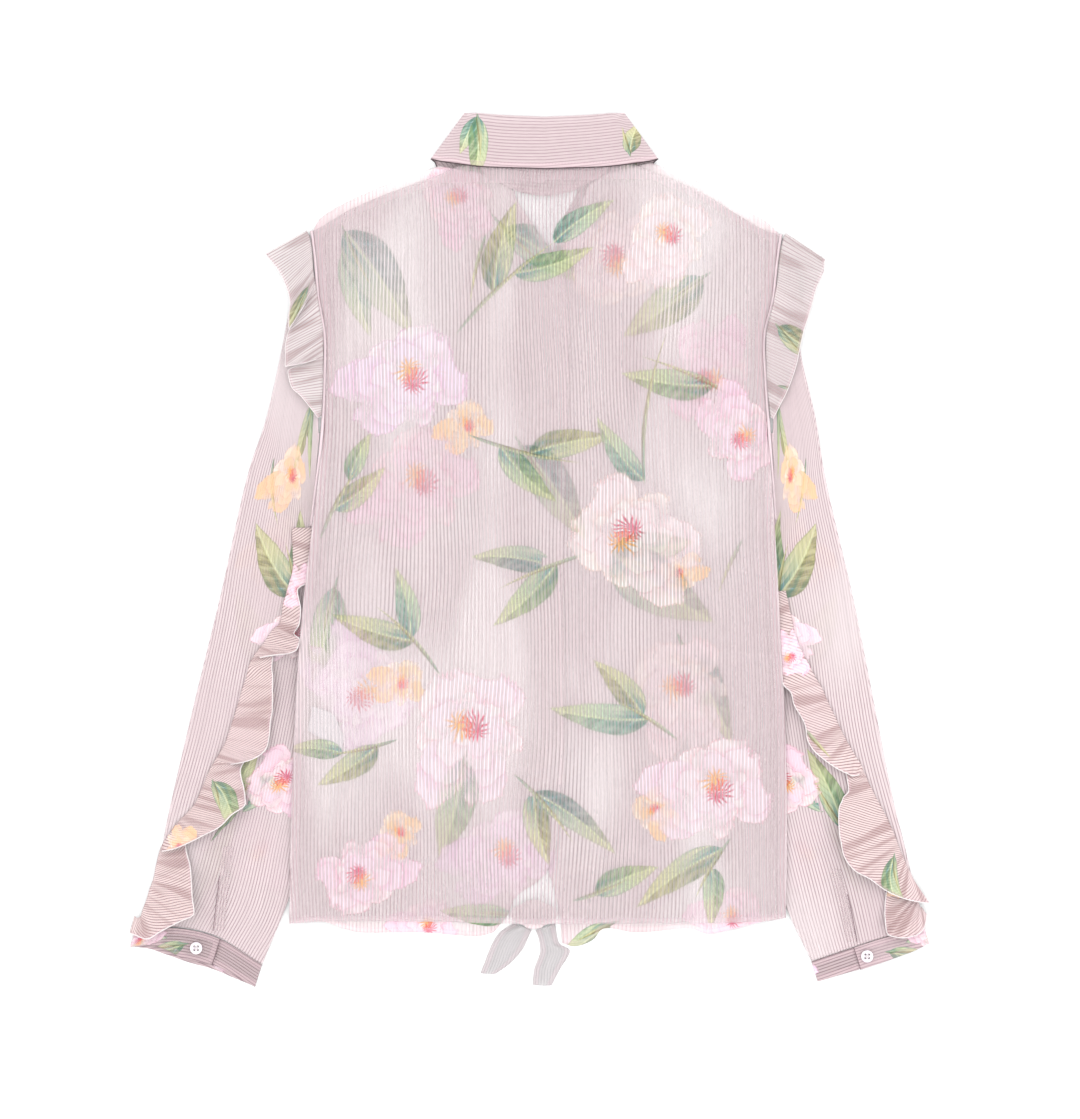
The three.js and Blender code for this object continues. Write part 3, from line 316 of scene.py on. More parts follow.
WING_LOBES = {
    LEFT: (
        (-197, 593, -232, 573, 0.3), (-194, 583, -224, 563, 1.2), (-193, 572, -216, 548, 2.6),
        (-192.5, 562, -212, 533, 3.8), (-192, 555, -213, 520, 5), (-191, 550, -213, 510, 5.4),
        (-190.5, 547, -205, 522, 4.8), (-190, 545, -196, 537, 2), (-189.5, 543, -197, 536, 0.4),
        (-189, 540, -205, 523, 0.6), (-188, 532, -212, 512, 1.2), (-186, 522, -214, 506, 2.6),
        (-184, 510, -216, 494, 4.2), (-184, 500, -216, 478, 5), (-184, 493, -202, 480.5, 4.2),
        (-184, 488, -190, 484.5, 1.6), (-184, 486, -191, 484, 0.4), (-184, 483, -202, 480, 0.6),
        (-184, 478, -214, 474, 1.8), (-184, 468, -211, 461, 3.2), (-184.5, 455, -203, 453, 2.8),
        (-185.5, 436, -188, 434, 0.6),
    ),
    RIGHT: (
        (212, 591, 246, 568, 0.3), (209, 580, 246, 561, 1.8), (207.5, 570, 243, 554, 3.8),
        (206.5, 560, 239, 545, 1), (205.5, 550, 236, 534, 3.4), (204, 538, 232, 520, 0.8),
        (200, 524, 228, 508, 3.6), (196.5, 508, 225, 494, 1), (196, 492, 222, 480, 3.6),
        (196.5, 478, 218, 467, 1), (197, 465, 213.5, 456, 2.6), (198.5, 449, 207.5, 444, 1),
        (200, 435, 202, 433, 0.4),
    ),
}
# Finer creases of the cloth alone, beyond the solids' main folds.
BACK_CREASES = (
    (-120, 20, -128, 120, 4, 0.7), (-20, 8, -10, 90, 5, 0.8), (96, 10, 92, 110, 5, 0.8),
    (-180, 330, -170, 430, 4, 0.7), (30, 300, 44, 420, 7, 0.8), (-96, 560, -110, 620, 6, 0.8),
    (96, 560, 120, 618, 6, 0.8),
)
SLEEVE_CREASES = (
    (-300, 60, -322, 30, 4, 0.7), (-230, 60, -250, 120, 4, 0.7), (-200, 200, -196, 260, 5, 0.6),
    (220, 40, 214, 110, 4, 0.7), (286, 60, 300, 30, 4, 0.7), (204, 220, 198, 280, 5, 0.6),
)


# --- Lines and surfaces -----------------------------------------------------------------------------------

def smooth(value, low, high):
    """0 below low, 1 above high and a soft step between them."""
    t = np.clip((np.asarray(value, float) - low) / (high - low), 0, 1)
    return t * t * (3 - 2 * t)


NEAR = 0.002  # the share of an outline over which its direction is taken


class Outline:
    """A smooth line through the rows of an outline, read by its share of the whole length."""

    def __init__(self, rows, steps=24):
        p = np.array([row[:2] for row in rows], float)
        p = np.vstack([2 * p[0] - p[1], p, 2 * p[-1] - p[-2]])
        t = np.linspace(0, 1, steps, endpoint=False)[:, None]
        pieces = []
        for i in range(1, len(p) - 2):
            a, b, c, d = p[i - 1 : i + 3]
            before, here, after = (math.sqrt(np.linalg.norm(q - o)) for o, q in ((a, b), (b, c), (c, d)))
            out = ((b - a) / before - (c - a) / (before + here) + (c - b) / here) * here
            into = ((c - b) / here - (d - b) / (here + after) + (d - c) / after) * here
            pieces.append(b + t * (out + t * (3 * (c - b) - 2 * out - into + t * (2 * (b - c) + out + into))))
        self.points = np.vstack(pieces + [p[-2:-1]])
        steps_long = np.linalg.norm(np.diff(self.points, axis=0), axis=1)
        self.length = float(steps_long.sum())
        self.share = np.concatenate([[0], np.cumsum(steps_long)]) / self.length

    def at(self, share):
        return np.stack([np.interp(share, self.share, self.points[:, k]) for k in (0, 1)], axis=-1)

    def tangent(self, share):
        share = np.asarray(share)
        step = self.at(np.minimum(share + NEAR, 1)) - self.at(np.maximum(share - NEAR, 0))
        return step / np.linalg.norm(step, axis=-1, keepdims=True)


def patch(bottom, top, left, right, u, v):
    """Points of a cloth stretched in plan between four outlines: one row for each v, one column for each u."""
    u, v = np.asarray(u)[None, :, None], np.asarray(v)[:, None, None]
    low, high = bottom.at(u[0, :, 0])[None], top.at(u[0, :, 0])[None]
    start, end = left.at(v[:, 0, 0])[:, None], right.at(v[:, 0, 0])[:, None]
    corners = (1 - u) * (1 - v) * low[:, :1] + u * (1 - v) * low[:, -1:]
    corners = corners + (1 - u) * v * high[:, :1] + u * v * high[:, -1:]
    return (1 - v) * low + v * high + (1 - u) * start + u * end - corners


def rows_between(rows, share):
    """Rows between the rows of a table, every column smoothed through its neighbours without overshoot."""
    table = np.array(rows, float)
    place = np.clip(np.asarray(share, float), 0, 1) * (len(table) - 1)
    first = np.minimum(place.astype(int), len(table) - 2)
    t = (place - first)[:, None]
    steps = np.diff(table, axis=0)
    meet = steps[:-1] * steps[1:]
    both = steps[:-1] + steps[1:]
    inner = np.where(meet > 0, 2 * meet / np.where(both == 0, 1, both), 0)
    slopes = np.vstack([steps[:1], inner, steps[-1:]])
    step, out, into = steps[first], slopes[first], slopes[first + 1]
    return table[first] + t * (out + t * (3 * step - 2 * out - into + t * (out + into - 2 * step)))


def read_table(rows, at):
    """The second column of a table where its first column reaches "at"."""
    table = np.array(rows, float)
    order = np.argsort(table[:, 0])
    return np.interp(at, table[order, 0], table[order, 1])


def fold_height(folds, x, y):
    """Height that a table of folds adds: soft ridges that fade out at both ends."""
    height = np.zeros(np.broadcast(x, y).shape)
    for from_x, from_y, to_x, to_y, width, rise in folds:
        run_x, run_y = to_x - from_x, to_y - from_y
        length = math.hypot(run_x, run_y)
        along = ((x - from_x) * run_x + (y - from_y) * run_y) / length
        aside = ((x - from_x) * run_y - (y - from_y) * run_x) / length
        fade = smooth(along, -width, length * 0.25) * (1 - smooth(along, length * 0.75, length + width))
        height = height + rise * fade * np.exp(-((aside / width) ** 2))
    return height


def side_rows(which):
    return SIDE_EDGE[which] + ARMHOLE[which][1:]


def inset_from_sides(x, y):
    """Distance in from the nearer side edge or armhole."""
    flipped = {which: [(row[1], row[0]) for row in side_rows(which)] for which in (LEFT, RIGHT)}
    inset = np.minimum(x - read_table(flipped[LEFT], y), read_table(flipped[RIGHT], y) - x)
    return np.maximum(0, inset)


def inset_from_shoulder(x, y):
    """Distance down from the back's shoulder edge."""
    edge = np.where(x < COLLAR_X, read_table(SHOULDER[LEFT], x), read_table(SHOULDER[RIGHT], x))
    return np.maximum(0, edge - SHOULDER_WRAP - y)


def floor_lift(x, y):
    """Underside of the fronts: wings and collar leaves lift the top of the body, sleeves lift its sides."""
    inset = inset_from_sides(x, y)
    sides = read_table(SIDE_LIFT, y) * (1 - smooth(inset, SIDE_LIFT_FULL, SIDE_LIFT_END))
    armholes = smooth(y, *ARMHOLE_RISE) * (1 - smooth(inset, *ARMHOLE_REACH))
    return sides + UNDERLAY * np.maximum(smooth(y, *TOP_RISE), armholes)


def overlap_lift(x, y):
    """Lift of the left front where it lies over the right one."""
    start = PLACKET_X - PLACKET_HALF
    low, high = start - OVERLAP_RAMP[0], start - OVERLAP_RAMP[1]
    along_closing = smooth(y, *CLOSING_START) * (1 - smooth(y, *CLOSING_END))
    return PLACKET_LIFT * smooth(x, low, high) * along_closing


def front_top(x, y):
    past = 1 - smooth(x, PLACKET_X + PLACKET_HALF + 1, PLACKET_X + 3 * PLACKET_HALF)
    return floor_lift(x, y) + CLOTH + overlap_lift(x, y) * past


def back_underside(x, y):
    inside = smooth(np.minimum(inset_from_sides(x, y), inset_from_shoulder(x, y)), 0, BODY_ROOM_REACH)
    over_stand = smooth(y, *STAND_RISE) * (1 - smooth(np.abs(x - COLLAR_X), *STAND_REACH))
    resting = front_top(x, y) + SEAM + np.maximum(BODY_ROOM * inside, UNDERLAY * over_stand)
    knot_x, knot_y, half_width, half_height, height = KNOT
    from_knot = np.hypot((x - knot_x) / half_width, (y - knot_y) / half_height)
    over_knot = 1 - smooth(from_knot, *KNOT_REACH)
    high = np.maximum(resting, height + 2 * SEAM)
    return resting + (high - resting) * over_knot + fold_height(BACK_FOLDS, x, y)


def sleeve_underside(y):
    return UNDERLAY * smooth(y, *SLEEVE_RISE)


def sleeve_top(x, y):
    return sleeve_underside(y) + 2 * CLOTH + SLEEVE_ROOM + fold_height(SLEEVE_FOLDS, x, y)


# --- The print: sprays of leaves and full blossoms, laid out one by one -------------------------------------

# Red, green and blue, and how strong a blossom's own colour is against its white.
LEAF_SHADES = {
    "olive": (0.60, 0.59, 0.36, 1), "green": (0.47, 0.62, 0.40, 1), "sea": (0.42, 0.64, 0.56, 1),
    "slate": (0.42, 0.50, 0.53, 1), "stem": (0.56, 0.49, 0.30, 1),
}
BLOOM_SHADES = {
    "lilac": (0.88, 0.58, 0.82, 0.34), "rose": (0.95, 0.50, 0.66, 0.36), "blush": (0.97, 0.66, 0.72, 0.30),
    "cream": (0.98, 0.84, 0.70, 0.34), "amber": (0.97, 0.76, 0.42, 0.78),
}
# A spray: x, y, heading in degrees, length and bend of its stem, then its leaves. A leaf: share of the stem
# where it grows, heading from the stem, length, half width, bend and shade. Bends are shares of a length.
BACK_SPRAYS = (
    (-70, 506, 52, 116, -0.16, (
        (0.42, 44, 78, 14, -0.22, "olive"), (0.62, -34, 70, 12, 0.2, "green"), (0.98, 12, 62, 11, -0.2, "sea"),
    )),
    (-60, 420, 338, 100, 0.14, ((0.3, -40, 66, 12, 0.22, "green"), (0.55, 34, 72, 13, -0.16, "olive"))),
    (92, 378, 96, 128, -0.26, ((0.06, 78, 84, 15, 0.18, "olive"), (0.02, 44, 66, 11, -0.22, "sea"))),
    (44, 318, 196, 84, 0.1, ((0.35, 36, 74, 13, -0.2, "green"), (0.4, -38, 68, 12, 0.2, "slate"))),
    (176, 448, 148, 96, 0.14, (
        (0.3, 30, 78, 14, -0.18, "green"), (0.5, -30, 74, 12, 0.2, "olive"), (0.92, 6, 60, 10, 0.16, "sea"),
    )),
    (-84, 214, 122, 80, 0.2, ((0.45, 40, 72, 13, -0.18, "olive"), (0.5, -42, 60, 11, 0.2, "sea"))),
    (-120, 158, 198, 60, -0.1, ((0.3, 30, 60, 12, -0.2, "olive"), (0.8, -24, 48, 9, 0.2, "green"))),
    (-20, 128, 320, 76, -0.16, ((0.3, 20, 86, 12, -0.2, "slate"), (0.3, -44, 62, 12, 0.2, "olive"))),
    (120, 158, 140, 60, 0.14, ((0.5, 36, 84, 14, -0.18, "sea"), (0.6, -30, 62, 12, 0.22, "olive"))),
    (166, 74, 232, 60, 0.14, ((0.2, -30, 88, 13, 0.16, "olive"), (0.5, 40, 52, 10, -0.2, "green"))),
    (30, 20, 12, 50, 0.16, ((0.4, 14, 58, 12, -0.18, "green"), (0.5, -30, 46, 9, 0.2, "olive"))),
    (-44, 592, 250, 60, 0.12, ((0.3, 24, 74, 12, -0.2, "sea"), (0.5, -30, 58, 11, 0.2, "green"))),
    (-186, 330, 70, 70, -0.14, ((0.4, -36, 56, 11, 0.2, "olive"), (0.8, 20, 44, 9, -0.2, "green"))),
)
# A blossom: x, y, radius, turn in degrees, tilt (how far it is foreshortened) and shade.
BACK_BLOOMS = (
    (-112, 470, 60, 20, 0.84, "lilac"), (78, 330, 64, 140, 0.86, "cream"), (150, 118, 60, 10, 0.84, "blush"),
    (-62, 166, 66, 75, 0.86, "blush"), (176, 420, 46, 300, 0.8, "rose"), (-150, 40, 46, 200, 0.8, "rose"),
    (110, 590, 46, 60, 0.84, "cream"),
)
BACK_SMALL_BLOOMS = (
    (-62, 428, 27, 30, 0.9, "amber"), (124, 300, 22, 200, 0.86, "amber"), (100, 96, 24, 120, 0.9, "amber"),
    (-118, 208, 26, 0, 0.9, "amber"), (-120, 78, 24, 60, 0.86, "amber"),
)
# The fronts carry the same cloth in other places.
FRONT_SPRAYS = (
    (-168, 600, 290, 60, 0.1, ((0.1, 20, 104, 22, -0.14, "slate"), (0.3, -20, 80, 14, 0.16, "sea"))),
    (-40, 610, 310, 60, 0.1, ((0.3, 20, 80, 16, -0.14, "sea"),)),
    (-20, 420, 300, 60, 0.1, ((0.2, 10, 96, 19, -0.14, "slate"),)),
    (60, 322, 330, 50, 0.1, ((0.1, -14, 104, 26, 0.14, "slate"), (0.1, 30, 70, 16, 0.1, "sea"))),
    (120, 250, 290, 50, 0.1, ((0.2, 10, 96, 17, -0.1, "slate"),)),
    (-60, 150, 250, 50, 0.1, ((0.2, 10, 90, 18, -0.1, "green"),)),
    (176, 330, 240, 50, 0.1, ((0.2, 10, 84, 15, -0.1, "olive"),)),
    (150, 560, 210, 50, 0.1, ((0.2, 10, 84, 18, -0.1, "olive"),)),
    (-14, 6, 170, 40, 0.1, ((0.2, 10, 62, 10, -0.1, "green"),)),
    (70, 2, 200, 40, 0.1, ((0.2, 10, 60, 10, 0.1, "green"),)),
    (-170, 300, 250, 60, 0.1, ((0.2, 10, 84, 15, -0.1, "green"),)),
)
FRONT_BLOOMS = (
    (-104, 380, 60, 40, 0.86, "rose"), (70, 570, 56, 190, 0.84, "cream"), (-150, 200, 58, 300, 0.86, "lilac"),
    (120, 200, 56, 90, 0.84, "cream"), (-30, 60, 52, 20, 0.84, "lilac"), (150, 470, 50, 260, 0.86, "rose"),
    (-70, 622, 40, 100, 0.86, "rose"), (165, 6, 36, 10, 0.86, "rose"), (-96, -2, 32, 10, 0.86, "rose"),
)
# Sleeves: x from the outer fold in, y up from the cuff.
SLEEVE_SPRAYS = (
    (70, 260, 100, 70, 0.14, ((0.3, 34, 78, 14, -0.2, "olive"), (0.5, -30, 60, 11, 0.2, "green"))),
    (96, 470, 250, 70, 0.14, ((0.2, 24, 74, 13, -0.2, "green"), (0.4, -34, 66, 12, 0.2, "olive"))),
    (40, 70, 60, 60, 0.14, ((0.2, 24, 70, 12, -0.2, "green"), (0.5, -30, 58, 11, 0.2, "sea"))),
    (20, 400, 280, 60, 0.14, ((0.2, 10, 60, 11, -0.2, "sea"),)),
)
SLEEVE_BLOOMS = (
    (44, 385, 34, 40, 0.84, "amber"), (90, 120, 40, 150, 0.84, "rose"), (60, 540, 30, 20, 0.86, "cream"),
    (66, 250, 30, 20, 0.86, "blush"),
)
RUFFLE_SPRAYS = ((300, 6, 20, 40, 0.1, ((0.1, 24, 64, 10, -0.2, "green"),)), (120, 30, 340, 40, 0.1, ()))
RUFFLE_BLOOMS = ((390, 16, 22, 20, 0.86, "amber"), (60, 12, 22, 10, 0.86, "rose"))
WING_SPRAYS = (
    (96, 34, 300, 40, 0.1, ((0.2, 20, 52, 11, -0.2, "sea"), (0.2, -30, 40, 9, 0.2, "olive"))),
    (214, 6, 60, 40, 0.1, ((0.1, 14, 50, 11, 0.2, "olive"),)), (262, 10, 100, 40, 0.14, ()),
)
COLLAR_SPRAYS = (
    (-58, 4, 80, 40, 0.1, ((0.1, 4, 60, 9, 0.14, "green"), (0.1, 40, 38, 7, -0.14, "sea"))),
    (74, 46, 250, 30, 0.1, ((0.1, 24, 34, 8, 0.14, "olive"),)),
)
CUFF_SPRAYS = ((24, 12, 10, 40, 0.1, ((0.1, 20, 44, 8, -0.14, "green"), (0.4, -30, 34, 7, 0.14, "sea"))),)
CUFF_BLOOMS = ((66, 8, 18, 20, 0.86, "rose"), (150, 10, 20, 20, 0.86, "lilac"))
STEM_HALF_WIDTH = 1.9


def grown(sprays):
    """Every stem and leaf of some sprays: x, y, heading, length, half width, bend and shade."""
    made = []
    for x, y, heading, length, bend, leaves in sprays:
        made.append((x, y, heading, length, STEM_HALF_WIDTH, bend, "stem"))
        cosine, sine = math.cos(math.radians(heading)), math.sin(math.radians(heading))
        for share, aside, leaf_length, half_width, leaf_bend, shade in leaves:
            along, off = share * length, bend * length * share**2
            made.append((
                x + along * cosine - off * sine, y + along * sine + off * cosine,
                heading + math.degrees(math.atan(2 * bend * share)) + aside, leaf_length, half_width, leaf_bend,
                shade,
            ))
    return made


LEAF_LAYERS = ("leaf_a", "leaf_b", "leaf_c")
BLOOM_LAYERS = ("bloom_a", "bloom_b")
OFF_PRINT = (9.0, 9.0)  # where no motif reaches
MOTIF_EDGE = 5.0  # how far a motif's own coordinates reach past it
MOST_LAYERS = 3


def leaf_place(leaf, place):
    """A leaf's own coordinates: share of its length, and share of its half width, over points of the print."""
    x, y, heading, length, half_width, bend, _ = leaf
    angle = math.radians(heading)
    along = (place[..., 0] - x) * math.cos(angle) + (place[..., 1] - y) * math.sin(angle)
    aside = (place[..., 1] - y) * math.cos(angle) - (place[..., 0] - x) * math.sin(angle)
    aside = aside - bend * length * (along / length) ** 2
    inside = (along > -MOTIF_EDGE) & (along < length + MOTIF_EDGE)
    inside &= np.abs(aside) < half_width * 1.25 + MOTIF_EDGE
    return np.stack([along / length, aside / half_width], axis=-1), inside


def bloom_place(bloom, place):
    """A blossom's own coordinates: x and y from its middle, in radii."""
    x, y, radius, turn, tilt, _ = bloom
    angle = math.radians(turn)
    across = (place[..., 0] - x) * math.cos(angle) + (place[..., 1] - y) * math.sin(angle)
    up = ((place[..., 1] - y) * math.cos(angle) - (place[..., 0] - x) * math.sin(angle)) / tilt
    inside = np.hypot(across, up) < radius * 1.3 + MOTIF_EDGE
    return np.stack([across, up], axis=-1) / radius, inside


def lay_print(place, leaves, blooms):
    """For each corner of each face, its place in the motifs over that face, one layer for each overlap.

    A motif that finds every layer taken is left out.
    """
    faces = place.shape[0]
    middle = place.mean(axis=1)
    layers = {}
    for motifs, names, shades, find in (
        (leaves, LEAF_LAYERS, LEAF_SHADES, leaf_place),
        (blooms, BLOOM_LAYERS, BLOOM_SHADES, bloom_place),
    ):
        for name in names:
            layers[name] = (np.full((faces, 4, 2), OFF_PRINT), np.ones((faces, 4, 4)), np.zeros(faces, bool))
        for motif in motifs:
            inside = find(motif, middle)[1]
            free = [name for name in names if not (layers[name][2] & inside).any()]
            if not free or not inside.any():
                continue
            uv, tint, used = layers[free[0]]
            uv[inside] = find(motif, place[inside])[0]
            tint[inside] = shades[motif[-1]]
            used |= inside
    lying = np.zeros(faces, int)
    for name in PRINT_ORDER[::-1]:
        used = layers[name][2]
        used &= lying < MOST_LAYERS
        lying += used
    return layers


# --- Making a sheet of cloth --------------------------------------------------------------------------------

FAR = 1000.0  # a distance in mm at which nothing shows
LEAST_WIDTH = 0.0102


def garment_offset():
    """From the garment's frame to the model's, in metres, by the middle of the left cuff's button."""
    low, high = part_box("cuff_button_left")
    return tuple((low[k] + high[k]) / 2 - LEFT_BUTTON[k] * MM for k in (0, 1))


OFFSET = garment_offset()


def place_points(points):
    """Garment points in mm as model points in metres."""
    placed = np.asarray(points, float) * MM
    placed[..., 0] += OFFSET[0]
    placed[..., 1] += OFFSET[1]
    return placed


def cell_corners(grid):
    """The four corners of every cell of a grid of values, cell by cell."""
    corners = np.stack([grid[:-1, :-1], grid[:-1, 1:], grid[1:, 1:], grid[1:, :-1]], axis=2)
    return corners.reshape(-1, 4, *grid.shape[2:])


def lengths_across(points):
    """Distance along each row of a grid from its first column."""
    steps = np.linalg.norm(np.diff(points, axis=1), axis=2)
    return np.concatenate([np.zeros((len(points), 1)), np.cumsum(steps, axis=1)], axis=1)


def lengths_back(points):
    """Distance along each row of a grid to its last column."""
    across = lengths_across(points)
    return across[:, -1:] - across


def lengths_down(points):
    """Distance down each column of a grid from its first row."""
    return lengths_across(points.transpose(1, 0, 2)).T


def woven(points):
    """Distance across and down a grid, as its cloth is woven."""
    return np.dstack([lengths_across(points), lengths_down(points)])


def select_only(obj):
    bpy.ops.object.select_all(action="DESELECT")
    obj.select_set(True)
    bpy.context.view_layer.objects.active = obj


def edit_all(obj, operator, **settings):
    """Run an edit mode operator on the whole of a mesh."""
    select_only(obj)
    bpy.ops.object.mode_set(mode="EDIT")
    bpy.ops.mesh.select_all(action="SELECT")
    operator(**settings)
    bpy.ops.object.mode_set(mode="OBJECT")


def apply_modifier(obj, kind, **settings):
    select_only(obj)
    bpy.ops.object.modifier_add(type=kind)
    modifier = obj.modifiers[-1]
    for name, value in settings.items():
        setattr(modifier, name, value)
    bpy.ops.object.modifier_apply(modifier=modifier.name)


def add_smooth(name, points, faces):
    """A smooth mesh through garment points in mm."""
    mesh = bpy.data.meshes.new(name)
    mesh.from_pydata(place_points(points).reshape(-1, 3).tolist(), [], faces)
    mesh.polygons.foreach_set("use_smooth", np.ones(len(faces), bool))
    obj = bpy.data.objects.new(name, mesh)
    bpy.context.scene.collection.objects.link(obj)
    return obj


def lay_values(layer, field, values):
    layer.data.foreach_set(field, np.asarray(values, np.float32).ravel())


def finish_piece(obj, nodes):
    """Attach a piece to the root and hide the solids that it stands for."""
    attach(obj, "root")
    if nodes:
        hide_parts(*nodes)
    return obj


def declare_sheet(points):
    """Work out a sheet's own length and width, and its own area; the results are not kept."""
    width, length = lengths_across(points)[:, -1].max() * MM, lengths_down(points)[-1].max() * MM
    corners = cell_corners(points) * MM
    area = 0.5 * np.linalg.norm(
        np.cross(corners[:, 2] - corners[:, 0], corners[:, 3] - corners[:, 1]), axis=1
    ).sum()
    width, length = sorted((max(width, LEAST_WIDTH), length))
    min(area, width * length)


def add_cloth(node, points, cloth, weave=None, place=None, sprays=(), blooms=(), hem=None, seam=None,
              ring=False, name=None):
    """A thin shell of cloth through a grid of points, with its weave, print, hems and seams laid on it.

    weave is across and along the stripes in mm, place the print's own coordinates in mm, hem and seam the
    distance in from the nearest finished edge and the nearest seam in mm.
    """
    weave = woven(points) if weave is None else weave
    rows, columns = points.shape[:2]
    faces = cell_corners(np.arange(rows * columns).reshape(rows, columns))
    obj = add_smooth(name or node + "_cloth", points, faces.tolist())
    mesh = obj.data
    lay_values(mesh.uv_layers.new(name="weave"), "uv", cell_corners(weave) * MM)
    names = list(LEAF_LAYERS + BLOOM_LAYERS)
    printed = np.zeros(len(faces), int)
    layers = lay_print(cell_corners(weave if place is None else place), grown(sprays), blooms)
    for label, (uv, tint, used) in layers.items():
        lay_values(mesh.uv_layers.new(name=label), "uv", uv)
        lay_values(mesh.attributes.new(label + "_shade", "BYTE_COLOR", "CORNER"), "color_srgb", tint)
        printed |= used << names.index(label)
    for label, distance in (("hem", hem), ("seam", seam)):
        values = np.full((rows, columns), FAR) if distance is None else distance
        lay_values(mesh.attributes.new(label, "FLOAT", "POINT"), "value", values)
    kinds = sorted(set(printed.tolist()))
    for kind in kinds:
        mesh.materials.append(chiffon(cloth, [label for bit, label in enumerate(names) if kind >> bit & 1]))
    mesh.materials.append(wrong_side(cloth))
    mesh.polygons.foreach_set("material_index", np.searchsorted(kinds, printed).astype(np.int32))
    mesh.update()
    if ring:
        edit_all(obj, bpy.ops.mesh.remove_doubles, threshold=1e-6)
    thickness = bpy.context.scene.blouse_cloth.thickness
    apply_modifier(obj, "SOLIDIFY", thickness=thickness, offset=0, material_offset=len(kinds))
    return finish_piece(obj, [node])


def add_edging(name, path, radius, thread, sides=8):
    """A rolled hem: a fine tube along a path in mm."""
    path = np.asarray(path, float)
    along = np.gradient(path, axis=0)
    along /= np.linalg.norm(along, axis=1, keepdims=True)
    aside = np.cross(along, (0, 0, 1.0))
    aside /= np.linalg.norm(aside, axis=1, keepdims=True)
    over = np.cross(aside, along)
    angles = np.linspace(0, FULL_TURN, sides, endpoint=False)
    rings = path[:, None] + radius * (
        np.cos(angles)[None, :, None] * aside[:, None] + np.sin(angles)[None, :, None] * over[:, None]
    )
    index = np.arange(len(path) * sides).reshape(len(path), sides)
    index = np.concatenate([index, index[:, :1]], axis=1)
    faces = cell_corners(index).tolist() + [index[0, :-1].tolist(), index[-1, :-1].tolist()[::-1]]
    obj = add_smooth(name, rings, faces)
    obj.data.materials.append(thread_finish(thread))
    edit_all(obj, bpy.ops.mesh.normals_make_consistent, inside=False)
    return finish_piece(obj, [])


# --- Shapes of the pieces -----------------------------------------------------------------------------------

def shares(count):
    return np.linspace(0, 1, count + 1)


def strip(rows, along, across):
    """A strip between the two edges that a table's rows give, and whatever else the rows give."""
    first_x, first_y, last_x, last_y, *rest = rows_between(rows, along).T[..., None]
    across = across[None]
    return first_x * (1 - across) + last_x * across, first_y * (1 - across) + last_y * across, *rest


def back_grid(rows, columns):
    def shoulder(which):
        return tuple((x, y if i == 0 else y - SHOULDER_WRAP) for i, (x, y) in enumerate(SHOULDER[which]))

    top = shoulder(LEFT) + BACK_NECK + shoulder(RIGHT)[::-1]
    u = shares(columns)
    u = u - BACK_EASE * np.sin(FULL_TURN * u) / FULL_TURN
    sides = [Outline(side_rows(which)) for which in (LEFT, RIGHT)]
    plan = patch(Outline(BACK_HEM), Outline(top), *sides, u, shares(rows))
    x, y = plan[..., 0], plan[..., 1]
    z = back_underside(x, y) + CLOTH / 2 + fold_height(BACK_CREASES, x, y)
    return np.dstack([x, y, z])


def front_grid(which, rows, columns):
    side, closing = Outline(side_rows(which)), Outline(CLOSING_EDGE[which])
    shoulder = Outline(SHOULDER[LEFT] if which == LEFT else SHOULDER[RIGHT][::-1])
    edges = (side, closing) if which == LEFT else (closing, side)
    plan = patch(Outline(FRONT_HEM[which]), shoulder, *edges, shares(columns), shares(rows))
    x, y = plan[..., 0], plan[..., 1]
    overlap = overlap_lift(x, y) if which == LEFT else 0
    z = floor_lift(x, y) + overlap + fold_height(FRONT_FOLDS, x, y) + CLOTH / 2
    return np.dstack([x, y, z])


def sleeve_grid(which, rings, columns, turns):
    """Rings from the armhole to the cuff; each is closed by repeating its first point."""
    outer, inner, cuff = (Outline(table[which]) for table in (SLEEVE_OUTER, SLEEVE_INNER, CUFF_SEAM))
    v = shares(rings)[:, None]
    radius = (CLOTH + SLEEVE_ROOM) / 2

    def outward(tangent, way, along_cuff):
        square = np.stack([way * tangent[:, 1], -way * tangent[:, 0]], axis=1)
        square = square * (1 - v**3) + along_cuff * v**3
        return (square / np.linalg.norm(square, axis=1, keepdims=True))[:, None]

    out = outward(outer.tangent(v[:, 0] ** SLEEVE_EASE), -which, -cuff.tangent(0.0))
    into = outward(inner.tangent(v[:, 0]), which, cuff.tangent(1.0))
    angles = np.radians(np.linspace(90, -90, turns + 2)[1:-1])
    u = np.concatenate([shares(columns), np.ones(turns), shares(columns)[::-1], np.zeros(turns)])
    height = np.concatenate([np.ones(columns + 1), np.sin(angles), -np.ones(columns + 1), np.sin(angles)[::-1]])
    tuck = radius * (1 - np.cos(angles))
    flat = np.full(columns + 1, radius)
    inset = CLOTH / 2 + np.concatenate([flat, tuck, flat, tuck[::-1]])
    bow = cuff.at(u) - (cuff.at(0.0) * (1 - u[:, None]) + cuff.at(1.0) * u[:, None])
    u3 = u[None, :, None]
    plan = outer.at(v[:, 0] ** SLEEVE_EASE)[:, None] * (1 - u3) + inner.at(v[:, 0])[:, None] * u3
    plan = plan + bow[None] * v[:, :, None] ** 3
    plan[..., 0] -= which * ARMHOLE_BOW * np.sin(math.pi * u[None]) ** 2 * (1 - v) ** 12
    plan = plan - inset[None, :, None] * (out * (1 - u3) + into * u3)
    x, y = plan[..., 0], plan[..., 1]
    top_side = smooth(height[None], 0, 0.6)
    z = sleeve_underside(y) + CLOTH + SLEEVE_ROOM / 2 + height[None] * radius
    z = z + top_side * (fold_height(SLEEVE_FOLDS, x, y) + fold_height(SLEEVE_CREASES, x, y))
    points = np.dstack([x, y, z])
    return np.concatenate([points, points[:, :1]], axis=1)


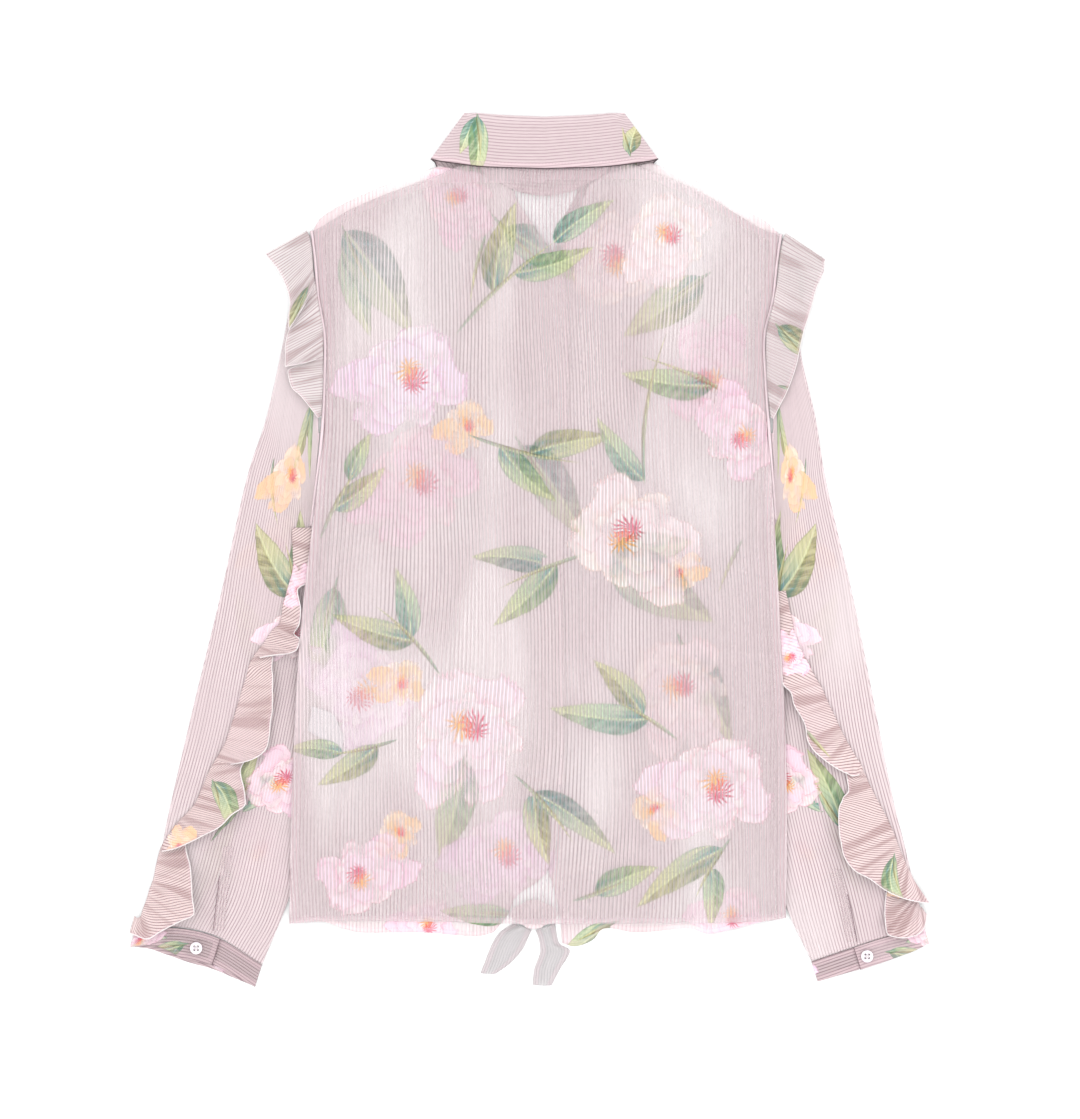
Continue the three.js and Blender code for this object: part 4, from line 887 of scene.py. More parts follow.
def cuff_grid(which, rows, columns):
    seam = Outline(CUFF_SEAM[which])
    along, z, deep = rows_between(CUFF_STRIP[which], shares(rows)).T
    depth = shares(columns)[None]
    down = CUFF_GAP + depth * deep[:, None]
    plan = seam.at(along)[:, None] + down[..., None] * np.array(CUFF_DOWN[which])
    height, turns, above = CUFF_GATHERS
    gather = height * np.sin(along[:, None] * turns) * (1 - depth) ** 2
    return np.dstack([plan, z[:, None] + gather * (z[:, None] > above)])


def sleeve_opening_grid(which, rows, columns):
    line = Outline(SLEEVE_OPENING[which]).at(shares(rows))
    across = (shares(columns) - 0.5) * SLEEVE_PLACKET
    x = line[:, None, 0] + across[None]
    y = np.broadcast_to(line[:, None, 1], x.shape)
    z = sleeve_top(x, y) + 2 * SEAM + CLOTH / 2 + 0.5 * np.sin(math.pi * shares(columns))[None] ** 0.5
    return np.dstack([x, y, z])


def flutes(v, u, rise, which, count, height, most_rise, seed):
    """Fine waves of a gathered edge: uneven, and opening towards the free edge."""
    draw = np.random.default_rng(seed + which)
    beats = np.cumsum(draw.uniform(0.55, 1.45, count + 2))
    phase = np.interp(v, np.linspace(0, 1, len(beats)), beats) * math.pi
    swell = np.interp(v, np.linspace(0, 1, count + 2), draw.uniform(0.35, 1, count + 2))
    return height * np.sin(phase) * swell * u**0.7 * np.minimum(rise, most_rise)


def sleeve_ruffle_grid(which, rows, columns):
    v, u = shares(rows)[:, None], shares(columns)[None]
    x, y, rise = strip(RUFFLE_LOBES[which], v[:, 0], u[0])
    stand = np.maximum(sleeve_top(x, y), sleeve_top(x[:, :1], y[:, :1])) + SEAM + CLOTH / 2
    z = stand + rise * np.sin(u * math.pi / 2) + flutes(v, u, rise, which, *RUFFLE_FLUTES)
    return np.dstack([x, y, z])


def wing_grid(which, rows, turns, columns):
    """A strip folded over the sleeve's top: its lower half, a half turn and its upper half."""
    v, u = shares(rows)[:, None], shares(columns)[None]
    x, y, rise = strip(WING_LOBES[which], v[:, 0], u[0])
    waves = flutes(v, u, rise, which, *WING_FLUTES)
    upper = np.dstack([x, y, sleeve_top(x, y) + SEAM + CLOTH / 2 + rise * np.sin(u * math.pi / 2) + waves])
    x, y = strip(WING[which], v[:, 0], u[0])
    lower = np.dstack([x, y, np.full_like(x, WING_UNDER)])[::-1]
    sewn_x, sewn_y, free_x, free_y = WING[which][0]
    outward = np.array([which * (sewn_y - free_y), which * (free_x - sewn_x)], float)
    outward /= np.linalg.norm(outward)
    angles = np.radians(np.linspace(-90, 90, turns + 2)[1:-1])[:, None]
    middle, radius = (upper[:1, :, 2] + WING_UNDER) / 2, (upper[:1, :, 2] - WING_UNDER) / 2
    turned = np.dstack([
        upper[:1, :, 0] + radius * np.cos(angles) * outward[0],
        upper[:1, :, 1] + radius * np.cos(angles) * outward[1],
        middle + radius * np.sin(angles),
    ])
    return np.concatenate([lower, turned, upper])


def collar_fall_grid(rows, turned, leaf):
    """Sections along the collar, each from the turned edge over the roll to the leaf's outer edge."""
    def half(side, share):
        roll_x, roll_y, edge_x, edge_y, z, bulge, roll = rows_between(COLLAR, share).T[..., None]
        roll_line = np.dstack([COLLAR_X + side * roll_x, roll_y])
        edge = np.dstack([COLLAR_X + side * edge_x, edge_y])
        to_edge = (edge - roll_line) / np.linalg.norm(edge - roll_line, axis=2, keepdims=True)
        flat, rolled, drop = rows_between(TURNED_EDGE, shares(turned)[:-1]).T[:, None]
        inset = flat + (rolled - flat) * np.minimum(1, roll / FULL_ROLL)
        turned_plan = roll_line + to_edge * inset[..., None]
        t = shares(leaf)[None]
        start = roll_line + to_edge * ROLL_RADIUS
        leaf_plan = start * (1 - t[..., None]) + edge * t[..., None]
        leaf_z = z + bulge * np.sin(math.pi * t) - bulge * 0.35 * t
        return np.concatenate([np.dstack([turned_plan, z - roll * drop]), np.dstack([leaf_plan, leaf_z])], axis=1)

    share = shares(rows)
    return np.concatenate([half(LEFT, share)[::-1], half(RIGHT, share)[1:]])


def collar_stand_grid(rows, columns):
    table = [(-x, top, low) for x, top, low in STAND[::-1]] + list(STAND[1:])
    x, top, low = rows_between(table, shares(rows)).T[..., None]
    u = shares(columns)[None]
    y = top * (1 - u) + low * u
    return np.dstack([COLLAR_X + x + 0 * u, y, np.full_like(y, UNDERLAY + CLOTH + SEAM + CLOTH / 2)])


def tie_grid(which, rows, columns):
    x, y = strip(TIE[which], shares(rows), shares(columns))
    height = TIE_CREASE[which] * np.sin(math.pi * shares(columns)[None]) ** 2
    return np.dstack([x, y, CLOTH / 2 + height + 0 * x])


def care_label_grid(rows, columns):
    x, y = strip(CARE_LABEL, shares(rows), shares(columns))
    return np.dstack([x, y, front_top(x, y) + BODY_ROOM / 2 - SEAM / 2 + CLOTH / 2])


# --- Finishes -----------------------------------------------------------------------------------------------

class Wire:
    """A value in a node tree that can be reckoned with: every sign adds one math node."""

    def __init__(self, make, socket):
        self.make, self.socket = make, socket

    def __rsub__(self, other):
        return self.make.math("SUBTRACT", other, self)

    def __abs__(self):
        return self.make.math("ABSOLUTE", self)

    def times(self, factor, more, clamp=False):
        """this value times a factor, and more"""
        return self.make.math("MULTIPLY_ADD", self, factor, more, clamp=clamp)

    def sine(self):
        return self.make.math("SINE", self)


def add_sign(sign, operation):
    setattr(Wire, f"__{sign}__", lambda self, other: self.make.math(operation, self, other))


for sign, operation in (
    ("add", "ADD"), ("sub", "SUBTRACT"), ("mul", "MULTIPLY"), ("truediv", "DIVIDE"), ("pow", "POWER"),
):
    add_sign(sign, operation)


class Nodes:
    """Adds nodes to a tree, joined to what they work on."""

    def __init__(self, tree):
        self.tree = tree

    def set(self, socket, value):
        if isinstance(value, Wire):
            self.tree.links.new(value.socket, socket)
        else:
            if hasattr(socket.default_value, "__len__") and len(socket.default_value) == 4 and len(value) == 3:
                value = (*value, 1)
            socket.default_value = value

    def outputs(self, kind, inputs=None, **settings):
        """a new node's outputs by name"""
        node = self.tree.nodes.new("ShaderNode" + kind)
        for name, value in settings.items():
            setattr(node, name, value)
        for name, value in (inputs or {}).items():
            if value is not None:
                self.set(node.inputs[name], value)
        return node.outputs

    def add(self, kind, inputs=None, output=0, **settings):
        return Wire(self, self.outputs(kind, inputs, **settings)[output])

    def several(self, kind, inputs=None, **settings):
        return {socket.name: Wire(self, socket) for socket in self.outputs(kind, inputs, **settings)}

    def math(self, operation, a, b=None, c=None, clamp=False):
        return self.add("Math", {0: a, 1: b, 2: c}, operation=operation, use_clamp=clamp)

    def vector(self, operation, a, b=None, scale=None):
        output = "Value" if operation == "LENGTH" else "Vector"
        return self.add("VectorMath", {0: a, 1: b, "Scale": scale}, output, operation=operation)

    def mix(self, factor, a, b):
        """a colour from a to b; a tuple is a colour as the eye names it"""
        a, b = (linear(colour) if isinstance(colour, tuple) else colour for colour in (a, b))
        return self.add("Mix", {0: factor, 6: a, 7: b}, 2, data_type="RGBA", clamp_factor=True)

    def coat(self, colour, *coats):
        """a colour with coats laid over it, each a cover and a colour"""
        for cover, over in coats:
            colour = self.mix(cover, colour, over)
        return colour

    def between(self, factor, a, b):
        """a number from a to b"""
        return self.add("Mix", {0: factor, 2: a, 3: b}, data_type="FLOAT", clamp_factor=True)

    def step(self, value, low, high):
        """0 below low, 1 above high, softly"""
        return self.add(
            "MapRange", {"Value": value, "From Min": low, "From Max": high}, "Result",
            interpolation_type="SMOOTHSTEP",
        )

    def noise(self, vector, scale, detail=2.0, output=0):
        return self.add("TexNoise", {"Vector": vector, "Scale": scale, "Detail": detail}, output)

    def draw(self, number):
        """a random number of its own for each whole number"""
        return self.add("TexWhiteNoise", {"W": number}, noise_dimensions="1D")

    def split(self, vector):
        return self.several("SeparateXYZ", {"Vector": vector}).values()

    def join(self, x, y):
        return self.add("CombineXYZ", {"X": x, "Y": y})

    def uv(self, name):
        return self.add("UVMap", uv_map=name)

    def attribute(self, name):
        return self.add("Attribute", output="Fac", attribute_name=name)

    def place(self):
        return self.add("TexCoord", output="Object")


def linear(colour):
    """A colour as the eye names it, as Blender's linear light."""
    return [c / 12.92 if c <= 0.04045 else ((c + 0.055) / 1.055) ** 2.4 for c in colour]


def leaf_pattern(make, given):
    """A painted leaf: its own colours and its cover, over its own coordinates."""
    x, y, _ = make.split(given["Place"])
    wash = make.noise(given["Place"], 2.6)
    waver = wash - 0.5
    along = make.math("ADD", x, waver * 0.05, clamp=True)
    width = make.math("MAXIMUM", (along**0.72 * math.pi).sine(), 0.0) ** 0.9
    aside = abs(y)
    inside = width - (aside + waver * 0.3)
    vein_wave = along * 9.0 - aside * 2.2
    veins = make.step((vein_wave * FULL_TURN).sine(), 0.55, 1.0)
    midrib = 1.0 - make.step(aside, 0.03, 0.10)
    streaks = make.noise(make.join(vein_wave * 1.5, aside * 0.8), 1.0)
    light = make.mix(0.55, given["Shade"], (0.89, 0.90, 0.74))
    half = make.step(y, -0.05, 0.05)
    cool = make.step(wash, 0.38, 0.58) * make.step(along, 0.62, 0.10)
    colour = make.coat(
        light,
        (half, given["Shade"]),
        (make.step(streaks, 0.44, 0.66) * 0.5, light),
        (cool * 0.85, (0.15, 0.49, 0.48)),
        (make.step(streaks, 0.56, 0.68) * cool, (0.60, 0.68, 0.86)),
        (make.step(along, 0.45, 1.0) * 0.7, (0.77, 0.74, 0.52)),
        (make.step(streaks, 0.58, 0.38) * make.between(half, 0.04, 0.45), (0.27, 0.32, 0.15)),
        (veins * 0.24, (0.36, 0.42, 0.26)),
        (midrib * 0.5, (0.88, 0.90, 0.70)),
        (make.step(inside, 0.16, 0.02) * 0.45, (0.33, 0.38, 0.20)),
    )
    return colour, make.step(inside, -0.02, 0.07) * make.between(make.step(wash, 0.3, 0.6), 0.84, 1.0)


def petal_pattern(make, given):
    """One ring of petals laid over what is under it."""
    count, turn = given["Count"], given["Turn"]
    near = make.vector("SUBTRACT", given["Place"], given["Middle"])
    x, y, _ = make.split(near)
    reach = make.vector("LENGTH", near) / given["Size"]
    place = make.math("ARCTAN2", y, x) / FULL_TURN * count + turn
    number = make.math("FLOORED_MODULO", make.math("FLOOR", place), count)
    draw = make.draw(number + turn)
    side = abs((make.math("FRACT", place) - 0.5) * 2.0)
    streak = make.noise(make.join(place * 9.0, reach * 1.1), 2.0)
    waver = streak - 0.5
    length = (1.0 - side**3.0 * 0.26) * make.between(draw, 0.74, 1.10) + waver * 0.16
    inside = length - reach
    cover = make.step(inside, 0.0, 0.05)
    hue = make.mix(make.step(draw, 0.35, 0.85), given["Shade"], given["Second Shade"])
    strong = make.math("MULTIPLY", given["Strength"], make.between(draw, 0.25, 1.15), clamp=True)
    pale = make.mix(strong, (0.995, 0.955, 0.96), hue)
    deep = make.mix(0.34, hue, (0.86, 0.32, 0.42))
    tone = reach * 0.8 + draw * 0.6 + waver * 1.7 - side**5.0 * 0.3
    accent = make.step(streak, 0.58, 0.70) * make.step(reach, 0.85, 0.35)
    outline = make.step(abs(inside - 0.025), 0.035, 0.0) * make.between(make.step(streak, 0.40, 0.56), 0.1, 0.85)
    colour = make.coat(
        deep,
        (make.step(tone, -0.45, 0.55), pale),
        (accent * 0.5, (0.93, 0.50, 0.42)),
        (outline, make.mix(0.6, hue, (0.62, 0.32, 0.38))),
    )
    shadow = make.step(inside, -0.16, 0.0) * 0.26
    under = make.mix(shadow, given["Under"], make.mix(0.3, hue, (0.74, 0.52, 0.60)))
    return make.mix(cover, under, colour), make.math("MAXIMUM", given["Under Cover"], cover)


def bloom_pattern(make, given):
    """A full blossom: rings of petals, each smaller and further to one side, round its stamens."""
    shade, strength = given["Shade"], given["Strength"]
    stir = make.noise(given["Place"], 1.9, output="Color")
    moved = make.vector("SUBTRACT", stir, (0.5, 0.5, 0.5))
    place = make.vector("ADD", given["Place"], make.vector("SCALE", moved, scale=0.5))
    second = make.mix(strength.times(-0.8, 0.75), shade, (0.90, 0.68, 0.90))
    colour, cover = shade, 0.0
    for size, count, middle, turn in PETAL_RINGS:
        ring = make.several("Group", {
            "Place": place, "Middle": (*middle, 0), "Size": size, "Count": count, "Turn": turn, "Shade": shade,
            "Second Shade": second, "Strength": strength, "Under": colour, "Under Cover": cover,
        }, node_tree=PATTERNS["petals"])
        colour, cover = ring["Colour"], ring["Cover"]
    wander, _, other = make.split(stir)
    hearts = 0.0
    for middle, spikes, size, heart_shade in BLOOM_HEARTS:
        from_middle = make.vector("SUBTRACT", place, (*middle, 0))
        x, y, _ = make.split(from_middle)
        spike = make.math("ARCTAN2", y, x).times(spikes, other * 14.0).sine().times(size * 0.45, size)
        heart = make.step(make.vector("LENGTH", from_middle) - spike, 0.02, -0.06)
        colour = make.mix(heart * 0.9, colour, heart_shade)
        hearts = make.math("MAXIMUM", hearts, heart)
    fade = make.between(make.step(wander, 0.34, 0.54), 0.42, 0.92)
    return colour, make.math("MAXIMUM", cover * fade, hearts)


# size, petals, middle, turn of each ring, from the outside in
PETAL_RINGS = (
    (1.0, 7.0, (0.0, 0.0), 0.3), (0.80, 6.0, (0.04, -0.05), 0.9), (0.58, 6.0, (0.03, -0.10), 0.1),
    (0.37, 5.0, (0.07, -0.11), 0.6),
)
# middle, spikes, size and shade of each burst of stamens
BLOOM_HEARTS = (
    ((0.02, 0.14), 11.0, 0.15, (0.94, 0.64, 0.24)), ((0.12, -0.18), 13.0, 0.15, (0.80, 0.16, 0.36)),
    ((0.05, -0.02), 9.0, 0.12, (0.90, 0.34, 0.24)),
)
PATTERNS = {}


def make_pattern(name, build, **inputs):
    """A node group of the print that gives a colour and a cover."""
    tree = bpy.data.node_groups.new(name, "ShaderNodeTree")
    for label, kind in inputs.items():
        tree.interface.new_socket(label.replace("_", " "), in_out="INPUT", socket_type="NodeSocket" + kind)
    for label, kind in (("Colour", "Color"), ("Cover", "Float")):
        tree.interface.new_socket(label, in_out="OUTPUT", socket_type="NodeSocket" + kind)
    make = Nodes(tree)
    given = {socket.name: Wire(make, socket) for socket in tree.nodes.new("NodeGroupInput").outputs}
    for socket, value in zip(tree.nodes.new("NodeGroupOutput").inputs, build(make, given)):
        make.set(socket, value)
    PATTERNS[name] = tree


def make_patterns():
    make_pattern("leaf", leaf_pattern, Place="Vector", Shade="Color")
    make_pattern(
        "petals", petal_pattern, Place="Vector", Middle="Vector", Size="Float", Count="Float", Turn="Float",
        Shade="Color", Second_Shade="Color", Strength="Float", Under="Color", Under_Cover="Float",
    )
    make_pattern("bloom", bloom_pattern, Place="Vector", Shade="Color", Strength="Float")


# For each group of pieces: gap and yarn colours, the opacity of one wall in a gap and on a yarn, the print's
# strength, and the stripes' pitch and slant against the back's, which is what makes their bands of moire.
Chiffon = namedtuple("Chiffon", "gap yarn thin thick ink pitch slant")
CHIFFONS = {
    "back": Chiffon((1.0, 0.955, 0.965), (0.60, 0.49, 0.515), 0.20, 0.74, 0.92, 1.0, 0.0),
    "front": Chiffon((1.0, 0.94, 0.945), (0.82, 0.735, 0.75), 0.66, 0.88, 0.94, 1.03, 0.01),
    "sleeve": Chiffon((0.97, 0.90, 0.91), (0.66, 0.56, 0.58), 0.62, 0.84, 0.92, 0.8, 0.02),
    "placket": Chiffon((1.0, 0.92, 0.93), (0.74, 0.64, 0.66), 0.16, 0.4, 0.9, 0.76, 0.02),
    # The frill's gap and yarn are darker than the other pieces': painted shade of the ruffles' folds.
    "frill": Chiffon((0.91, 0.825, 0.82), (0.56, 0.44, 0.445), 0.86, 0.96, 0.88, 0.98, 0.9),
    "wing": Chiffon((0.98, 0.945, 0.945), (0.64, 0.55, 0.56), 0.56, 0.84, 0.9, 0.82, 0.0),
    "collar": Chiffon((0.85, 0.775, 0.785), (0.68, 0.59, 0.61), 0.8, 0.92, 0.9, 0.9, 0.0),
    "cuff": Chiffon((0.77, 0.69, 0.70), (0.50, 0.42, 0.44), 0.8, 0.94, 0.9, 0.8, 0.0),
    "tie": Chiffon((0.84, 0.82, 0.825), (0.68, 0.66, 0.67), 0.7, 0.9, 0.8, 0.8, 0.0),
}
# How the layers of the print lie on each other, from the lowest up.
PRINT_ORDER = ("bloom_b", "leaf_c", "leaf_b", "leaf_a", "bloom_a")
# How a stripe sways: turns along and across for each metre, start, and size in metres.
SWAYS = ((23.0, 31.0, 0.4, 0.0016), (61.0, -43.0, 1.9, 0.00035), (9.0, 13.0, 2.2, 0.0030))
SEAM_ALLOWANCE, SEAM_SHADE = (7.5, 6.8), (24.0, 8.0)
STITCH_RUN, TWIST_RUN, RIB_RUN = 2600.0, 5200.0, 9000.0  # radians for each metre


def new_material(name):
    """An empty material, with what adds its nodes and its shader."""
    material = bpy.data.materials.new(name)
    material.use_nodes = True
    tree = material.node_tree
    tree.nodes.clear()
    shader = tree.nodes.new("ShaderNodeBsdfPrincipled")
    tree.links.new(shader.outputs[0], tree.nodes.new("ShaderNodeOutputMaterial").inputs["Surface"])
    return material, Nodes(tree), shader


def give_finish(make, shader, colour, roughness, bump=None, **others):
    """Set a shader's colour, roughness, bump (height, strength, depth) and other values by their names."""
    values = {name.replace("_", " "): value for name, value in others.items()}
    if bump:
        values["Normal"] = make.add("Bump", dict(zip(("Height", "Strength", "Distance"), bump)))
    for name, value in {"Base Color": colour, "Roughness": roughness, **values}.items():
        make.set(shader.inputs[name], value)


def chiffon(cloth, layers):
    """The striped chiffon of one group of pieces, with the layers of the print that its faces carry."""
    name = "_".join(["chiffon", cloth, *(label[0] + label[-1] for label in layers)])
    if name in bpy.data.materials:
        return bpy.data.materials[name]
    settings = bpy.context.scene.blouse_cloth
    tone = CHIFFONS[cloth]
    material, make, shader = new_material(name)
    across, along, _ = make.split(make.uv("weave"))
    sway = [along.times(far, across.times(wide, start)).sine() * size for far, wide, start, size in SWAYS]
    shift = along.times(tone.slant, sway[0] + sway[1] + sway[2])
    beat = (across + shift) / (settings.stripe * tone.pitch)
    yarn = make.step(make.math("COSINE", beat * FULL_TURN), 0.15, 1.0)
    line = make.draw(make.math("ROUND", beat))
    slub = make.noise(make.join(across * 900.0, along * 120.0), 1.0, 1.0)
    spot = make.vector("MULTIPLY", make.place(), (1.0, 0.34, 1.0))
    cloud = make.noise(make.vector("ADD", spot, (tone.pitch * 7, 0, 0)), 12.0, 1.0)
    body = cloth in ("back", "front")
    uneven = 0.1 if body else 0.05
    dark = make.step(cloud, 0.52, 0.68)
    ground = make.coat(
        tone.gap,
        (yarn, tone.yarn),
        (make.step(slub, 0.35, 0.75) * uneven, (0.99, 0.955, 0.96)),
        (dark * 0.32, (0.80, 0.715, 0.735)),
    )
    if cloth in ("frill", "wing"):
        # Painted shade of the gathers: darker streaks along the pleats of the ruffles and wings.
        pleat_shade = make.noise(make.join(across * 85.0, along * 14.0), 1.0, 1.0)
        ground = make.mix(make.step(pleat_shade, 0.46, 0.64) * 0.5, ground, (0.60, 0.46, 0.46))
    if body or cloth == "sleeve":
        light = make.step(cloud, 0.50, 0.34) * (0.6 if body else 0.3)
        ground = make.mix(light, ground, (1.0, 0.968, 0.972))
    cover = dark.times(0.08, make.between(yarn, tone.thin, tone.thick))
    for draw in (line, slub):
        cover = (draw - 0.5).times(uneven, cover)
    inked = 0.0
    for label in PRINT_ORDER:
        if label not in layers:
            continue
        shade = make.several("Attribute", attribute_name=label + "_shade")
        given = {"Place": make.uv(label), "Shade": shade["Color"]}
        if label in BLOOM_LAYERS:
            given["Strength"] = shade["Alpha"]
        motif = make.several("Group", given, node_tree=PATTERNS[label[:-2]])
        ground = make.mix(motif["Cover"] * tone.ink, ground, motif["Colour"])
        inked = make.math("MAXIMUM", inked, motif["Cover"])
    if layers:
        cover = inked.times(0.20, cover)
    hem, seam = make.attribute("hem"), make.attribute("seam")
    turned = make.step(hem, settings.hem + 0.4, settings.hem)
    doubled = make.math("MAXIMUM", turned, make.step(seam, *SEAM_ALLOWANCE))
    dashes = make.step(((across + along) * STITCH_RUN).sine(), -0.4, 0.2)
    stitched = make.step(abs(hem - (settings.hem - 0.4)), 0.42, 0.2) * dashes
    if body:
        ground = make.mix(make.step(seam, *SEAM_SHADE) * 0.2, ground, (0.84, 0.75, 0.77))
    ground = make.coat(ground, (doubled * 0.22, (0.80, 0.68, 0.71)), (stitched * 0.45, (0.66, 0.54, 0.59)))
    cover = stitched.times(0.2, doubled.times(0.14, cover), clamp=True)
    give_finish(
        make, shader, ground, make.between(yarn, 0.78, 0.56), (yarn, 0.5, 0.0003), Alpha=cover,
        Sheen_Weight=0.15, Sheen_Roughness=0.45, Specular_IOR_Level=0.3,
    )
    return material


def wrong_side(cloth):
    """The lower face of a piece of chiffon: the gaps and yarns alone, almost clear."""
    name = "wrong_side_" + cloth
    if name in bpy.data.materials:
        return bpy.data.materials[name]
    tone = CHIFFONS[cloth]
    material, make, shader = new_material(name)
    across, along, _ = make.split(make.uv("weave"))
    beat = along.times(tone.slant, across) / (bpy.context.scene.blouse_cloth.stripe * tone.pitch)
    yarn = make.step(make.math("COSINE", beat * FULL_TURN), -0.1, 0.95)
    colour = make.mix(yarn, tone.gap, tone.yarn)
    give_finish(make, shader, colour, make.between(yarn, 0.78, 0.6), Alpha=make.between(yarn, 0.04, 0.09))
    return material


def thread_material(name, colour):
    """A fine rolled edge or a thread: twisted, with a soft shine."""
    material, make, shader = new_material(name)
    x, y, z = make.split(make.place())
    twist = ((x + y + z) * TWIST_RUN).sine()
    tone = make.noise(make.place(), 140.0, 3.0)
    shade = make.coat(
        colour,
        (make.step(twist, -0.6, 0.8) * 0.5, tuple(min(1, c * 1.08) for c in colour)),
        (tone * 0.3, tuple(c * 0.86 for c in colour)),
    )
    give_finish(make, shader, shade, make.between(tone, 0.5, 0.75), (twist, 0.5, 0.0005), Sheen_Weight=0.2)
    return material


def button_material():
    """Pale pearly shirt button."""
    material, make, shader = new_material("button_pearl")
    cloud = make.noise(make.place(), 260.0, 3.0)
    bands = make.noise(make.vector("MULTIPLY", make.place(), (1.0, 5.0, 1.0)), 190.0, 4.0)
    shade = make.coat(
        (0.93, 0.89, 0.91),
        (make.step(cloud, 0.3, 0.7), (0.86, 0.82, 0.87)),
        (make.step(bands, 0.45, 0.7) * 0.5, (0.98, 0.96, 0.96)),
    )
    give_finish(
        make, shader, shade, make.between(bands, 0.18, 0.38), (bands, 0.15, 0.0002), Coat_Weight=0.4,
        Coat_Roughness=0.12,
    )
    return material


def label_material():
    """Blank satin tape: fine ribs across a strip."""
    material, make, shader = new_material("label_satin")
    x, y, _ = make.split(make.place())
    ribs = ((x + y * 0.4) * RIB_RUN).sine()
    cloud = make.noise(make.place(), 120.0)
    shade = make.coat(
        (0.82, 0.785, 0.80),
        (make.step(ribs, -0.5, 0.7) * 0.5, (0.88, 0.85, 0.865)),
        (cloud * 0.2, (0.88, 0.87, 0.90)),
    )
    give_finish(make, shader, shade, make.between(cloud, 0.32, 0.5), (ribs, 0.25, 0.0001), Sheen_Weight=0.3)
    return material


def floor_material(colour):
    material, make, shader = new_material("studio_floor")
    cloud = make.noise(make.place(), 1.6)
    shade = make.mix(cloud, list(colour), [c * 0.995 for c in colour])
    give_finish(make, shader, shade, make.between(cloud, 0.9, 0.96), Specular_IOR_Level=0.1)
    return material


# The dark thread colours the collar's edge cord: partly its own dark edge line, partly painted shadow under the
# collar's edge.
THREADS = {
    "pale": (0.95, 0.91, 0.91), "mauve": (0.52, 0.42, 0.45), "dark": (0.26, 0.18, 0.20),
    "seam": (0.92, 0.84, 0.86),
}


def thread_finish(name):
    label = f"thread_{name}"
    return bpy.data.materials.get(label) or thread_material(label, THREADS[name])


# --- Settings -----------------------------------------------------------------------------------------------

class BLOUSE_PG_cloth(bpy.types.PropertyGroup):
    thickness: FloatProperty(
        name="Cloth", description="Thickness of one layer of chiffon", default=0.0004, min=0.0001, max=0.001,
        unit="LENGTH",
    )
    stripe: FloatProperty(
        name="Stripe", description="Distance from one woven stripe to the next", default=0.0031, min=0.001,
        max=0.02, unit="LENGTH",
    )
    hem: FloatProperty(name="Hem", description="Depth of a turned hem, in millimetres", default=4.5, min=1, max=30)
    hem_roll: FloatProperty(
        name="Rolled edge", description="Radius of a rolled edge, in millimetres", default=0.5, min=0.2, max=1.5
    )


class BLOUSE_PG_stage(bpy.types.PropertyGroup):
    distance: FloatProperty(
        name="Camera height", description="Height of the camera above the cloth", default=2.673, min=0.5, max=10,
        unit="LENGTH",
    )
    lens: FloatProperty(name="Lens", description="Focal length in millimetres", default=100, min=20, max=300)
    world: FloatProperty(name="Room light", description="Strength of the even light", default=1.54, min=0, max=5)
    key: FloatProperty(
        name="Window light", description="Power of the large soft light", default=75, min=0, max=500, unit="POWER"
    )
    floor: FloatVectorProperty(
        name="Floor", description="Colour of the floor", default=(0.95, 0.95, 0.95), min=0, max=1, subtype="COLOR"
    )


# --- Operators ----------------------------------------------------------------------------------------------

NECK_START = 600  # above this the back's cloth has no hem
UNDER_SHIFT = (9, 60)  # how far a sleeve's lower half lies off in the print, so that it is no mirror of the top
SLEEVE_PLACKET = 9
SLIT_START, SLIT_RADIUS = 14, 0.32
WING_ROLL = 0.7  # how much finer a wing's rolled hem is
NARROW_HEM = 2.6  # how much narrower a ruffle's hem is than the others
ARMHOLE_SEAM_OUT, ARMHOLE_SEAM_HEIGHT, ARMHOLE_SEAM_RADIUS = 1.2, 2.6, 1.3
# direction across, where, width and depth of each crease of the knot
KNOT_CREASES = (
    (0.95, 0.31, -0.1, 0.06, 0.22), (0.98, -0.2, 0.22, 0.05, 0.18), (0.9, 0.44, 0.5, 0.05, 0.16),
    (0.99, 0.1, -0.42, 0.06, 0.2), (0.86, -0.5, 0.05, 0.04, 0.12),
)
KNOT_WEAVE = (0.11, 0.04)
HOLE_SPACING, HOLE_RADIUS = 0.003, 0.0009
THREAD_REACH, THREAD_RADIUS, THREAD_RISE, THREAD_DIP = 2.1, 0.28, 0.75, 1.1
# A button's rim, the slope inside it, its dish and its rounding, as shares of its radius or its height.
RIM, SLOPE, DISH, ROUNDING = 0.2, 0.12, 0.28, 0.16
# Radius of the dark cord along the collar's outer edge: partly its edge line, partly painted shadow under that
# edge.
COLLAR_SHADOW_CORD = 0.5
VIEW_MIDDLE = (2.15, 312.6)
KEY_PLACE, KEY_SIZE = (-1.5, 1.3, 1.7), 1.2


class BLOUSE_OT_back(bpy.types.Operator):
    """Lay the back over the fronts"""

    bl_idname = "blouse.back"
    bl_label = "Back"

    def execute(self, context):
        points = back_grid(*GRIDS["back"])
        x, y = points[..., 0], points[..., 1]
        hem = np.where(y > NECK_START, FAR, lengths_down(points))
        seam = np.minimum(inset_from_sides(x, y), inset_from_shoulder(x, y))
        place = points[..., :2]
        back = add_cloth("back", points, "back", place, place, BACK_SPRAYS,
                         BACK_BLOOMS + BACK_SMALL_BLOOMS, hem, seam)
        declare_sheet(points)
        return {"FINISHED"}


class BLOUSE_OT_fronts(bpy.types.Operator):
    """Lay both fronts on the floor, the left one over the right one where they overlap"""

    bl_idname = "blouse.fronts"
    bl_label = "Fronts"

    def execute(self, context):
        for which, side in SIDES:
            points = front_grid(which, *GRIDS["front"])
            closing = lengths_back(points) if which == LEFT else lengths_across(points)
            hem = np.minimum(lengths_down(points), closing)
            place = points[..., :2]
            front = add_cloth(f"front_{side}", points, "front", place, place, FRONT_SPRAYS,
                              FRONT_BLOOMS, hem, inset_from_sides(points[..., 0], points[..., 1]))
            declare_sheet(points)
        return {"FINISHED"}


